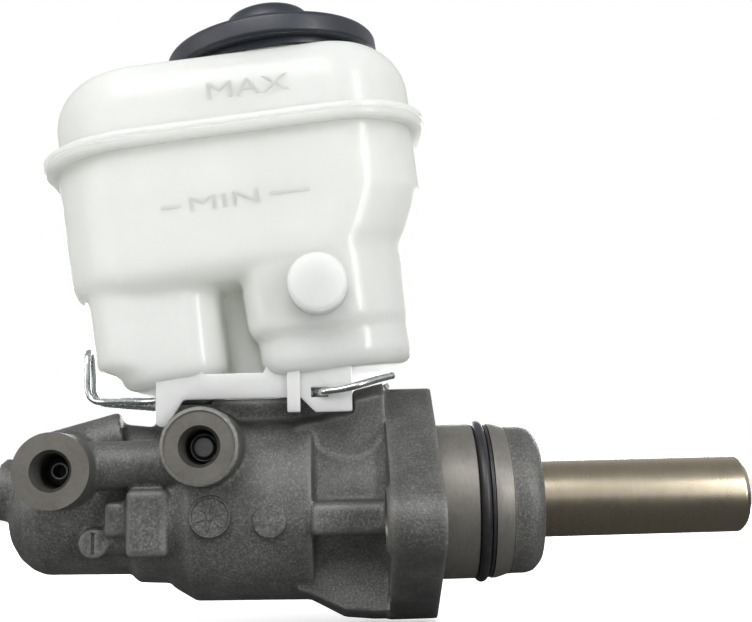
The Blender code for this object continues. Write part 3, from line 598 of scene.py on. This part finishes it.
def make_casting_marks():
    """A generic foundry ring, and the flat marks that the mould's pins leave."""
    shapes = [
        lathe([(5.2, 28.0), (5.4, 29.25, 0.2), (5.9, 29.25, 0.2), (6.2, 28.0)],
              at(-66.6, 0, -2.0, TO_VIEWER), closed=True),
        lathe([(0.0, 28.9), (5.3, 28.9), (5.3, 27.5), (0.0, 27.5)], at(-66.6, 0, -2.0, TO_VIEWER)),
        lathe([(0.0, 29.25), (1.0, 29.25, 0.2), (1.2, 28.5), (0.0, 28.5)],
              at(-66.6, 0, -2.0, TO_VIEWER), steps=32),
        lathe([(0.0, 29.0), (4.7, 29.0, 0.2), (4.9, 28.7), (5.0, 27.5), (0.0, 27.5)],
              at(-49.5, 0, -3.6, TO_VIEWER)),
    ]
    for k in range(6):
        turn = Matrix.Rotation(k * math.pi / 3 + 0.3, 4, "Z")
        shapes.append(brick((1.9, -0.35, 28.5), (4.3, 0.35, 29.2),
                            at(-66.6, 0, -2.0, TO_VIEWER) @ turn, edge=0.15))
    simple_piece("casting_marks", shapes, MARK, "casting", "cast_aluminium")


# ---------------------------------------------------------------- bore and its seals

def cup(centre_x, outer, width):
    """A lip seal's section, its groove open towards the pressure side."""
    inner = 12.2
    outer -= 0.3
    back = centre_x + width / 2 - 0.3
    front = centre_x - width / 2 + 0.3
    thick = (outer - inner) / 3
    return [(inner, back, 0.3), (outer, back, 0.3), (outer, front, 0.2),
            (outer - thick, front, 0.2), (outer - thick, back - 2.2, 0.4),
            (inner + thick, back - 2.2, 0.4), (inner + thick, front, 0.2), (inner, front, 0.2)]


def ring_section(mean, height, radius, count=16):
    return [(mean + radius * math.cos(2 * math.pi * i / count),
             height - radius * math.sin(2 * math.pi * i / count)) for i in range(count)]


def make_bore_pieces():
    """Turned pieces: name, CAD node, body, slot, finish, outline, closed."""
    table = [
        ("plunger", "primary_piston", "primary_plunger", "anodised_aluminium", ANODISED, [
            (0.0, 71.8), (4.6, 74.8, 0.5), (4.6, 96.9), (5.6, 97.8, 0.3), (10.4, 97.8, 0.4),
            (11.9, 96.3, 0.6), (11.9, -47.2, 0.3), (11.1, -48.0, 0.3), (8.6, -48.0),
            (8.6, -12.0), (0.0, -12.0)], False),
        ("front_plunger", "secondary_piston", "secondary_plunger", "anodised_aluminium",
         ANODISED, [(0.0, -81.0), (3.6, -81.0), (3.6, -64.0), (11.1, -64.0), (11.9, -64.8),
                    (11.9, -105.2), (11.1, -106.0), (8.6, -106.0), (8.6, -84.0), (0.0, -84.0)],
         False),
        ("spring_cage", "primary_spring_retainer", "secondary_plunger", "bright_steel", STEEL, [
            (3.3, -55.3), (2.1, -55.3), (2.1, -54.1), (4.4, -54.1), (4.4, -62.5), (8.0, -62.5),
            (8.0, -63.7), (3.3, -63.7)], True),
        ("spring_stem", "primary_spring_stem", "primary_plunger", "bright_steel", STEEL, [
            (0.0, -12.3), (1.7, -12.3), (1.7, -55.6), (2.9, -55.6), (2.9, -57.7), (0.0, -57.7)],
         False),
        ("front_spring_seat", "secondary_spring_seat", "casting", "bright_steel", STEEL, [
            (0.0, -117.7), (4.6, -117.7), (4.6, -124.5), (8.3, -124.5), (8.3, -125.7),
            (0.0, -125.7)], False),
        ("primary_cup", "primary_pressure_cup", "casting", "black_rubber", RUBBER,
         cup(-43.0, 15.5, 6.0), True),
        ("middle_cup", "separating_cup", "casting", "black_rubber", RUBBER,
         cup(-74.5, 15.5, 6.0), True),
        ("front_cup", "secondary_pressure_cup", "casting", "black_rubber", RUBBER,
         cup(-87.5, 15.5, 6.0), True),
        ("mouth_seal", "vacuum_seal", "casting", "black_rubber", RUBBER, cup(17.0, 16.0, 6.0),
         True),
        ("guide_bush", "piston_guide", "casting", "black_plastic", SWITCH_PLASTIC, [
            (12.2, 28.2, 0.5), (15.7, 28.2, 0.5), (15.7, 20.3, 0.3), (12.2, 20.3, 0.3)], True),
        ("spigot_ring", "booster_o_ring", "casting", "black_rubber", RUBBER,
         ring_section(23.35, 14.1, 1.7), True),
        ("flat_ring", "backup_ring", "casting", "black_plastic", RUBBER, [
            (21.7, 17.0), (23.7, 17.0, 0.2), (23.7, 16.0, 0.2), (21.7, 16.0)], True),
    ]
    for name, node, body, slot, material, outline, closed in table:
        simple_piece(name, [lathe(outline, closed=closed)], material, body, slot, node)
    ring = [(29.5, 15.9 * math.sin(a), -15.9 * math.cos(a))
            for a in [math.radians(20 + 320 * i / 72) for i in range(73)]]
    simple_piece("mouth_ring", [hose(ring, 0.65)], STEEL, "casting", "bright_steel", "snap_ring")


def make_seats():
    """Cone seats for the brake pipes: the rear one is still closed by its flat plug."""
    x, face, z, _ = REAR_PORT
    simple_piece("rear_seat", [lathe([
        (0.0, -face - 10.7), (2.9, -face - 10.7, 0.3), (3.2, -face - 11.3), (3.2, -face - 12.6),
        (4.0, -face - 12.2, 0.2), (4.35, -face - 12.8), (4.35, -face - 17.8),
        (0.0, -face - 17.8)], at(x, 0, z, TO_VIEWER))],
        SEAT_METAL, "casting", "bright_steel", "rear_outlet_seat")
    x, face, z, _ = FRONT_PORT
    simple_piece("front_seat", [lathe([
        (1.9, -face - 10.6, 0.15), (2.5, -face - 10.6, 0.2), (4.35, -face - 13.2),
        (4.35, -face - 17.8), (1.9, -face - 17.8)], at(x, 0, z, TO_VIEWER), closed=True)],
        SEAT_METAL, "casting", "bright_steel", "front_outlet_seat")


def coil(start, end, turns, radius=6.8):
    """A spring's centre line, with its end turns closed flat."""
    path = []
    per_turn = 28
    count = turns * per_turn
    lead = 2.2
    for i in range(count + 1):
        turn = i / per_turn
        reach = (end - start) - 2 * lead
        if turn < 1:
            x = start + lead * turn
        elif turn > turns - 1:
            x = end - lead * (turns - turn)
        else:
            x = start + lead + reach * (turn - 1) / (turns - 2)
        angle = 2 * math.pi * turn
        path.append((x, radius * math.cos(angle), radius * math.sin(angle)))
    return path


def make_springs():
    rear = simple_piece("rear_spring", [hose(coil(-61.2, -13.3, 8), 1.0, 10)], STEEL,
                        "secondary_plunger", "bright_steel", "primary_return_spring")
    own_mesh(rear)
    front = simple_piece("front_spring", [hose(coil(-123.2, -85.3, 7), 1.0, 10)], STEEL,
                         "casting", "bright_steel", "secondary_return_spring")
    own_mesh(front)


# ---------------------------------------------------------------- reservoir

WALL = 2.4
SEAM_W = 119.0
MAIN_CORNERS = (29.0, 27.0)
MAIN = [(74.0, -102.6, 2.4, 34.0), (84.0, -102.8, 4.6, 34.0), (97.0, -103.0, 10.2, 34.0),
        (SEAM_W, -103.0, 10.8, 34.0)]
TANKS = (
    (MAIN, MAIN_CORNERS, 7.0),
    ([(46.0, -89.4, -56.6, 28.0), (54.0, -95.8, -56.6, 28.0), (82.0, -96.6, -56.2, 28.0)],
     (13.0, 11.0), 5.0),
    ([(55.2, -48.6, 1.6, 33.0), (82.0, -49.0, 2.0, 33.0)], (9.0, 26.0), 4.0),
    ([(43.5, -46.2, 0.9, 30.0), (60.0, -46.2, 0.9, 30.0)], (8.0, 23.0), 5.0),
)
RIM = (-106.7, 14.8, 37.5)
RIM_CORNERS = (31.0, 29.0)
UPPER = (-101.6, 11.2, 34.2)
TOP_W = 143.7
SHOULDER = 13.0
SIDE_FULLNESS = 0.54      # how much less the shoulder rounds in at the sides than at the ends
CAP_U = -30.3
SWITCH_U = -26.2
SWITCH_W = 67.7


def chamber(stations, corners, edge, inset=0.0, stretch_top=0.0):
    """A moulded chamber through (w, u_low, u_high, half) stations, its bottom edge rounded."""
    w, u_low, u_high, half = stations[0]
    w += inset
    radius = max(edge - inset, 0.8)
    rings = []
    for k in range(7):
        angle = k / 6 * math.pi / 2
        rings.append(round_rectangle(w + radius * (1 - math.cos(angle)), u_low, u_high, half,
                                     corners, inset + radius * (1 - math.sin(angle))))
    for w, u_low, u_high, half in stations[1:]:
        rings.append(round_rectangle(w, u_low, u_high, half, corners, inset))
    if stretch_top:
        rings.append(round_rectangle(w + stretch_top, u_low, u_high, half, corners, inset))
    return loft(rings, LEVEL)


def rim_shape(low, high, low_round, high_round):
    rings = []
    for k in range(4):
        angle = k / 3 * math.pi / 2
        rings.append(round_rectangle(low + low_round * (1 - math.cos(angle)), *RIM, RIM_CORNERS,
                                     low_round * (1 - math.sin(angle))))
    for k in range(4):
        angle = k / 3 * math.pi / 2
        rings.append(round_rectangle(high - high_round * (1 - math.sin(angle)), *RIM, RIM_CORNERS,
                                     high_round * (1 - math.cos(angle))))
    return loft(rings, LEVEL)


def level_at(u, y, w, turn=None):
    return LEVEL @ at(u, y, w, turn)


def skirt_shapes():
    outline = [
        (-82.6, 40.2), (-82.6, 25.2, 0.6), (-81.4, 24.3, 0.6), (-79.6, 24.3, 0.6),
        (-74.7, 32.1, 1.0), (-44.0, 32.1), (-44.0, 27.7, 0.5), (-40.2, 27.7, 0.5), (-40.2, 32.1),
        (-35.8, 27.6, 0.6), (-24.9, 27.6, 0.6), (-24.9, 44.0), (-49.0, 44.0), (-51.0, 39.5),
        (-68.5, 39.5), (-70.0, 41.7)]
    shapes = []
    for y, side in ((-25.0, -1), (25.0, 1)):
        shapes.append(prism(outline, -y - WALL / 2, -y + WALL / 2, TO_VIEWER, edge=0.25))
        low, high = sorted((y, y + side * 2.6))
        shapes.append(brick((-44.0, low, 27.7), (-40.2, high, 44.0), edge=0.35))
    return shapes


def make_lower_shell():
    body = new_object("lower_shell", [
        *(chamber(*tank) for tank in TANKS),
        lathe([(0.0, 36.0), (8.7, 36.0), (8.7, -20.0), (0.0, -20.0)],
              level_at(SWITCH_U, 0, SWITCH_W, TO_BACK)),
        brick((-58.0, -1.3, 44.0), (-44.0, 1.3, 76.0), LEVEL)], MILKY)
    fuse(body, 1.15, 5)
    spigots = [lathe([(0.0, top), (6.0, top), (6.0, low + 0.8), (5.2, low), (0.0, low)],
                     at(x, 0, 0)) for x, low, top in ((-75.0, 23.5, 42.0), (-36.0, 25.0, 44.0))]
    tube = lathe([(0.0, 0.0), (8.7, 0.0), (8.7, -41.2, 1.2), (7.6, -42.4, 0.5), (0.0, -42.4)],
                 level_at(SWITCH_U, 0, SWITCH_W, TO_BACK))
    rim = rim_shape(SEAM_W - 2.4, SEAM_W, 1.1, 0.3)
    boolean(body, "UNION", [new_object("rim", [rim], MILKY), new_object("tube", [tube], MILKY),
                            new_object("spigots", spigots, MILKY)])
    hollows = [chamber(stations, corners, edge, WALL, 3.0 if stations is MAIN else 0.0)
               for stations, corners, edge in TANKS]
    boolean(body, "DIFFERENCE", [new_object(f"hollow {i}", [shape], MILKY)
                                 for i, shape in enumerate(hollows)])
    post = lathe([(0.0, 106.0), (2.2, 106.0, 0.5), (2.2, 74.0), (0.0, 74.0)],
                 level_at(SWITCH_U, 0, 0), steps=32)
    inner_tube = lathe([(0.0, 34.5), (8.7, 34.5), (8.7, -34.0), (0.0, -34.0)],
                       level_at(SWITCH_U, 0, SWITCH_W, TO_BACK))
    boolean(body, "UNION", [new_object("post", [post], MILKY),
                            new_object("inner tube", [inner_tube], MILKY)])
    bores = [lathe([(0.0, 50.0), (6.4, 50.0), (6.4, -39.5), (0.0, -39.5)],
                   level_at(SWITCH_U, 0, SWITCH_W, TO_BACK))]
    bores += [lathe([(0.0, top), (3.6, top), (3.6, 20.0), (0.0, 20.0)], at(x, 0, 0))
              for x, top in ((-75.0, 44.5), (-36.0, 46.5))]
    boolean(body, "DIFFERENCE", [new_object(f"bore {i}", [shape], MILKY)
                                 for i, shape in enumerate(bores)])
    finish_piece(body, "casting", "translucent_plastic", "reservoir_lower", sharp=40.0)
    skirt = new_object("clip_skirts", skirt_shapes(), SKIRT_PLASTIC)
    boolean(skirt, "DIFFERENCE", [new_object(f"slot {y}", [brick(
        (-37.0, y - 3.0, 31.9), (-31.9, y + 3.0, 34.9))], SKIRT_PLASTIC) for y in (-25.0, 25.0)])
    finish_piece(skirt, "casting", "translucent_plastic")


def upper_rings(inset, low, high):
    """The upper shell's sections: the shoulder is rounder at the ends than at the sides."""
    front, rear, half = UPPER
    radius = SHOULDER - inset
    rings = [round_rectangle(low, *UPPER, MAIN_CORNERS, inset)]
    for k in range(11):
        angle = k / 10 * math.pi / 2
        rounding = radius * (1 - math.cos(angle))
        rings.append(round_rectangle(high - radius * (1 - math.sin(angle)), front, rear,
                                     half + SIDE_FULLNESS * rounding, MAIN_CORNERS,
                                     inset + rounding))
    return rings


def make_upper_shell():
    base = SEAM_W + 0.3
    body = new_object("upper_shell", [loft(upper_rings(0.0, base, TOP_W), LEVEL)], MILKY)
    neck = lathe([(0.0, 149.5), (26.8, 149.5, 0.3), (26.8, 148.4), (27.7, 147.9, 0.2),
                  (27.7, 146.9, 0.2), (26.8, 146.4), (26.8, 141.0), (0.0, 141.0)],
                 level_at(CAP_U, 0, 0))
    boolean(body, "UNION", [
        new_object("rim", [rim_shape(base, base + 2.3, 0.3, 1.0)], MILKY),
        new_object("neck", [neck], MILKY)])
    mouth = lathe([(0.0, 151.0), (24.2, 151.0), (24.2, 146.0), (22.0, 146.0), (22.0, 138.0),
                   (0.0, 138.0)], level_at(CAP_U, 0, 0))
    boolean(body, "DIFFERENCE", [
        new_object("hollow", [loft(upper_rings(WALL, base - 2.0, TOP_W - WALL), LEVEL)],
                   MILKY),
        new_object("mouth", [mouth], MILKY)])
    finish_piece(body, "casting", "translucent_plastic", "reservoir_upper")


def lettering(text, width, height, thickness):
    """Raised capitals of a given size, centred, standing up and facing the viewer."""
    curve = bpy.data.curves.new(text, "FONT")
    curve.body = text
    curve.extrude = 0.25
    guide = bpy.data.objects.new(text, curve)
    bpy.context.scene.collection.objects.link(guide)
    graph = bpy.context.evaluated_depsgraph_get()
    mesh = bpy.data.meshes.new_from_object(guide.evaluated_get(graph), depsgraph=graph)
    bpy.data.objects.remove(guide, do_unlink=True)
    shape = bmesh.new()
    shape.from_mesh(mesh)
    bpy.data.meshes.remove(mesh)
    bmesh.ops.remove_doubles(shape, verts=shape.verts, dist=0.0001)
    xs = [v.co.x for v in shape.verts]
    ys = [v.co.y for v in shape.verts]
    middle = ((min(xs) + max(xs)) / 2, (min(ys) + max(ys)) / 2)
    bmesh.ops.translate(shape, vec=(-middle[0], -middle[1], 0.0), verts=shape.verts)
    bmesh.ops.scale(shape, vec=(width / (max(xs) - min(xs)), height / (max(ys) - min(ys)),
                                thickness), verts=shape.verts)
    shape.transform(TO_VIEWER)
    return shape


def make_level_marks():
    """Generic fluid level marks, raised on the near side."""
    low = lettering("MIN", 20.6, 4.4, 1.0)
    low.transform(level_at(-49.9, -33.85, 96.9))
    high = lettering("MAX", 24.6, 5.2, 1.0)
    high.transform(level_at(-38.5, -34.25, 130.6))
    shapes = [low, high,
              brick((-68.6, -34.2, 96.3), (-62.8, -33.2, 97.5), LEVEL, edge=0.2),
              brick((-36.5, -34.2, 96.3), (-24.5, -33.2, 97.5), LEVEL, edge=0.2)]
    simple_piece("level_marks", shapes, MARK_PLASTIC, "casting", "translucent_plastic")


def make_cap():
    shapes = [lathe([
        (0.0, 167.4), (7.0, 167.2, 2.0), (11.0, 166.4, 2.0), (13.4, 165.0, 1.2),
        (14.6, 162.5, 1.2), (15.2, 159.0, 1.5), (16.5, 156.0, 1.5), (19.5, 154.2, 1.5),
        (25.0, 153.2, 1.0), (33.4, 153.2, 0.6), (34.4, 152.0, 0.6), (34.4, 147.0, 0.6),
        (33.6, 146.2, 0.4), (30.2, 146.2), (30.2, 144.3, 0.3),
        (28.2, 144.3, 0.3), (28.2, 151.0), (0.0, 151.0)], level_at(CAP_U, 0, 0), steps=160)]
    simple_piece("filler_cap", shapes, CAP_PLASTIC, "cap", "black_plastic", "reservoir_cap")
    simple_piece("cap_seal_disc", [lathe([
        (0.0, 147.5), (12.2, 147.5, 1.0), (13.8, 141.7, 1.0), (17.1, 141.7, 1.0),
        (19.0, 150.7, 0.5), (27.7, 150.7, 0.3), (27.7, 149.8, 0.3), (19.8, 149.8, 0.5),
        (18.1, 140.5, 1.0), (12.8, 140.5, 1.0), (11.3, 146.3, 0.8), (0.0, 146.3)],
        level_at(CAP_U, 0, 0))], RUBBER, "cap_seal", "black_rubber", "cap_diaphragm")


def gauze_point(step, steps, w, radius=20.9):
    angle = 2 * math.pi * step / steps
    return radius * math.cos(angle), radius * math.sin(angle), w


def make_strainer():
    body = new_object("strainer_basket", [lathe([
        (0.0, 129.4), (20.2, 129.4, 0.5), (20.2, 147.4), (23.8, 147.4, 0.3), (23.8, 146.3, 0.2),
        (21.6, 146.3), (21.6, 128.2, 0.5), (0.0, 128.2)], level_at(CAP_U, 0, 0))], MILKY)
    windows = [new_object(f"window {k}", [brick(
        (-26.0, -5.0, -5.5), (26.0, 5.0, 5.5),
        level_at(CAP_U, 0, 136.5, Matrix.Rotation(math.pi * k / 3, 4, "Z")))], MILKY)
        for k in range(3)]
    boolean(body, "DIFFERENCE", windows)
    finish_piece(body, "casting", "translucent_plastic", "fluid_strainer")
    threads = [[gauze_point(i, 72, 131.5 + k) for i in range(73)] for k in range(11)]
    threads += [[gauze_point(k, 96, w) for w in (131.0, 142.0)] for k in range(96)]
    gauze = [hose([level_at(CAP_U, 0, 0) @ Vector(p) for p in path], 0.14, 4) for path in threads]
    simple_piece("strainer_gauze", gauze, MARK_PLASTIC, "casting", "translucent_plastic")


def make_float():
    bottom = 76.7
    place = level_at(SWITCH_U, 0, 0)
    simple_piece("float_ring", [lathe([
        (3.0, bottom + 11.0), (12.5, bottom + 11.0, 0.6), (13.5, bottom + 10.0, 0.6),
        (13.5, bottom + 1.0, 0.6), (12.5, bottom, 0.6), (7.3, bottom), (7.3, bottom + 3.6),
        (3.0, bottom + 3.6)], place, closed=True)], FOAM, "float", "float_plastic", "level_float")
    simple_piece("ring_magnet", [lathe([
        (3.0, bottom + 3.3), (7.0, bottom + 3.3), (7.0, bottom + 0.3), (3.0, bottom + 0.3)], place,
        closed=True)], STEEL, "float", "bright_steel", "float_magnet")


def make_switch():
    axis = level_at(SWITCH_U, 0, SWITCH_W, TO_BACK)
    body = new_object("switch_body", [lathe([
        (0.0, 48.0), (6.0, 48.0), (6.0, 39.4), (8.2, 39.4, 0.4), (8.2, 36.4, 0.4), (6.0, 36.4),
        (6.0, -36.0, 0.5), (4.5, -38.5), (0.0, -38.5)], axis)], SWITCH_PLASTIC)
    shell = brick((SWITCH_U - 8.5, 46.0, SWITCH_W - 6.5), (SWITCH_U + 8.5, 62.0, SWITCH_W + 6.5),
                  LEVEL, edge=1.2)
    ribs = [brick((SWITCH_U + s * 5.5 - 0.5, 41.0, SWITCH_W - 5.0),
                  (SWITCH_U + s * 5.5 + 0.5, 47.0, SWITCH_W + 5.0), LEVEL, edge=0.2)
            for s in (-1, 1)]
    latch = prism([(0.0, 0.0), (6.0, 0.0), (1.5, 1.7)], -2.5, 2.5,
                  level_at(SWITCH_U, 52.0, SWITCH_W + 6.3) @ YZ_PLANE, edge=0.2)
    boolean(body, "UNION", [new_object("socket shell", [shell], SWITCH_PLASTIC),
                            new_object("socket latch", [latch], SWITCH_PLASTIC),
                            new_object("socket rib 0", [ribs[0]], SWITCH_PLASTIC),
                            new_object("socket rib 1", [ribs[1]], SWITCH_PLASTIC)])
    hollow = brick((SWITCH_U - 6.9, 50.0, SWITCH_W - 4.9), (SWITCH_U + 6.9, 63.0, SWITCH_W + 4.9),
                   LEVEL)
    boolean(body, "DIFFERENCE", [new_object("socket hollow", [hollow], SWITCH_PLASTIC)])
    finish_piece(body, "casting", "black_plastic", "level_switch")
    for name, node, side in (("front_pin", "switch_pin_front", -1),
                             ("rear_pin", "switch_pin_rear", 1)):
        u = SWITCH_U + side * 4.6
        pin = brick((u - 0.4, 50.3, SWITCH_W - 1.1), (u + 0.4, 58.5, SWITCH_W + 1.1), LEVEL,
                    edge=0.2)
        simple_piece(name, [pin], BRASS, "casting", "brass", node)


def make_grommets():
    for name, node, (x, top, bottom) in (
            ("front_grommet", "front_inlet_grommet", FRONT_INLET),
            ("rear_grommet", "rear_inlet_grommet", REAR_INLET)):
        simple_piece(name, [lathe([
            (6.3, top + 2.2, 0.4), (10.6, top + 2.2, 0.6), (10.6, top + 0.3, 0.3),
            (9.0, top + 0.3), (9.0, bottom + 0.3, 0.5), (6.3, bottom + 0.3, 0.5)], at(x, 0, 0),
            closed=True)], RUBBER, "casting", "black_rubber", node)


def make_clip():
    near = [(-12.5, -20.0, 38.3), (-17.0, -24.0, 37.0), (-22.5, -27.8, 35.2), (-28.0, -28.1, 33.9),
            (-32.8, -27.5, 33.4), (-35.4, -23.4, 33.4), (-38.4, -21.8, 33.5), (-62.0, -21.8, 33.8),
            (-75.0, -21.8, 33.2), (-84.0, -21.0, 32.2), (-93.0, -14.5, 32.8), (-100.0, -8.0, 33.2),
            (-105.0, -5.0, 34.0), (-107.3, -4.2, 37.0), (-107.6, -4.0, 43.0), (-107.8, -2.9, 48.0)]
    far = [(x, -y, z) for x, y, z in reversed(near)]
    path = smooth_path(near + [(-107.9, 0.0, 49.6)] + far, 8)
    simple_piece("clip_wire", [hose(path, 1.05, 16)], STEEL, "casting", "bright_steel",
                 "reservoir_clip")


# ---------------------------------------------------------------- studio, in metres

LIT_POINT = (-0.02, 0.0, 0.06)
BOUNCE = (0.50, 0.50, 0.50, 1.0)        # the floor as rough surfaces see it
DARK_BOUNCE = (0.09, 0.09, 0.09, 1.0)   # and as shiny ones mirror it


def aim_camera():
    """The viewing angle, from the port side and slightly below the reservoir's middle."""
    yaw, pitch, roll = 0.0334, 0.1455, -0.0263
    forward = Vector((math.sin(yaw) * math.cos(pitch), math.cos(yaw) * math.cos(pitch),
                      math.sin(pitch)))
    level = forward.cross(Vector((0.0, 0.0, 1.0))).normalized()
    upright = level.cross(forward)
    right = math.cos(roll) * level + math.sin(roll) * upright
    up = math.cos(roll) * upright - math.sin(roll) * level
    lens = bpy.data.cameras.new("camera")
    lens.sensor_width = 36.0
    lens.sensor_fit = "HORIZONTAL"
    lens.lens = 53.225
    lens.clip_start = 0.01
    camera = bpy.data.objects.new("camera", lens)
    place = Matrix((right, up, -forward)).transposed().to_4x4()
    place.translation = Vector((-28.158, -354.731, 9.027)) * MM
    camera.matrix_world = place
    bpy.context.scene.collection.objects.link(camera)
    bpy.context.scene.camera = camera


def soft_light(name, place, size, power):
    light = bpy.data.lights.new(name, "AREA")
    light.shape = "RECTANGLE"
    light.size, light.size_y = size
    light.energy = power
    made = bpy.data.objects.new(name, light)
    made.location = place
    made.visible_camera = False
    made.rotation_euler = (Vector(LIT_POINT) - Vector(place)).to_track_quat("-Z", "Y").to_euler()
    bpy.context.scene.collection.objects.link(made)


def split_by_camera_ray(nodes, links, seen, lit, socket, kind):
    """What the camera sees and what lights the object, joined by the kind of ray."""
    path = nodes.new("ShaderNodeLightPath")
    blend = nodes.new(kind)
    links.new(path.outputs["Is Camera Ray"], blend.inputs["Fac"])
    links.new(lit, blend.inputs[1])
    links.new(seen, blend.inputs[2])
    links.new(blend.outputs[0], socket)


def make_world():
    world = bpy.data.worlds.new("studio")
    bpy.context.scene.world = world
    world.use_nodes = True
    nodes, links = world.node_tree.nodes, world.node_tree.links
    nodes.clear()
    output = nodes.new("ShaderNodeOutputWorld")
    seen = nodes.new("ShaderNodeBackground")
    seen.inputs["Color"].default_value = (1.0, 1.0, 1.0, 1.0)
    lit = nodes.new("ShaderNodeBackground")
    place = nodes.new("ShaderNodeTexCoord")
    split = nodes.new("ShaderNodeSeparateXYZ")
    links.new(place.outputs["Generated"], split.inputs["Vector"])
    scale = nodes.new("ShaderNodeMapRange")
    scale.inputs["From Min"].default_value = -1.0
    scale.inputs["From Max"].default_value = 1.0
    links.new(split.outputs["Z"], scale.inputs["Value"])
    sky = nodes.new("ShaderNodeValToRGB")
    stops = ((0.0, 0.05), (0.36, 0.14), (0.46, 0.75), (0.60, 1.0), (0.82, 1.0), (0.97, 0.55))
    while len(sky.color_ramp.elements) < len(stops):
        sky.color_ramp.elements.new(0.5)
    for element, (position, grey) in zip(sky.color_ramp.elements, stops):
        element.position = position
        element.color = (grey, grey, grey, 1.0)
    links.new(scale.outputs["Result"], sky.inputs["Fac"])
    links.new(sky.outputs["Color"], lit.inputs["Color"])
    lit.inputs["Strength"].default_value = 0.68
    split_by_camera_ray(nodes, links, seen.outputs[0], lit.outputs[0], output.inputs["Surface"],
                        "ShaderNodeMixShader")


def make_floor():
    mesh = bpy.data.meshes.new("floor")
    reach = 3.0
    level = CAD_BOX[0][2] - 0.0006
    corners = [(-reach, -reach, level), (reach, -reach, level), (reach, reach, level),
               (-reach, reach, level)]
    mesh.from_pydata(corners, [], [(0, 1, 2, 3)])
    floor = bpy.data.objects.new("floor", mesh)
    bpy.context.scene.collection.objects.link(floor)
    paper = bpy.data.materials.new("pale paper")
    paper.use_nodes = True
    nodes, links = paper.node_tree.nodes, paper.node_tree.links
    seen = nodes["Principled BSDF"]
    seen.inputs["Base Color"].default_value = (0.9, 0.9, 0.9, 1.0)
    seen.inputs["Roughness"].default_value = 0.9
    seen.inputs["Emission Color"].default_value = (1.0, 1.0, 1.0, 1.0)
    seen.inputs["Emission Strength"].default_value = 0.35
    lit = nodes.new("ShaderNodeBsdfDiffuse")
    shade = nodes.new("ShaderNodeMix")
    shade.data_type = "RGBA"
    shade.inputs[6].default_value = BOUNCE
    shade.inputs[7].default_value = DARK_BOUNCE
    links.new(nodes.new("ShaderNodeLightPath").outputs["Is Glossy Ray"], shade.inputs[0])
    links.new(shade.outputs[2], lit.inputs["Color"])
    split_by_camera_ray(nodes, links, seen.outputs["BSDF"], lit.outputs["BSDF"],
                        nodes["Material Output"].inputs["Surface"], "ShaderNodeMixShader")
    mesh.materials.append(paper)


def light_studio():
    soft_light("key", (-0.25, -0.70, 0.70), (0.8, 0.4), 7.0)
    soft_light("right strip", (0.55, -0.60, 0.15), (0.08, 0.8), 5.5)
    soft_light("left fill", (-0.80, -0.35, 0.20), (0.5, 0.6), 1.9)
    soft_light("back", (0.0, 0.9, 0.12), (1.4, 0.4), 15.0)


make_casting()
make_casting_marks()
make_bore_pieces()
make_seats()
make_springs()
make_lower_shell()
make_upper_shell()
make_level_marks()
make_cap()
make_strainer()
make_float()
make_switch()
make_grommets()
make_clip()
aim_camera()
make_world()
make_floor()
light_studio()
bpy.context.scene.view_settings.view_transform = "Standard"
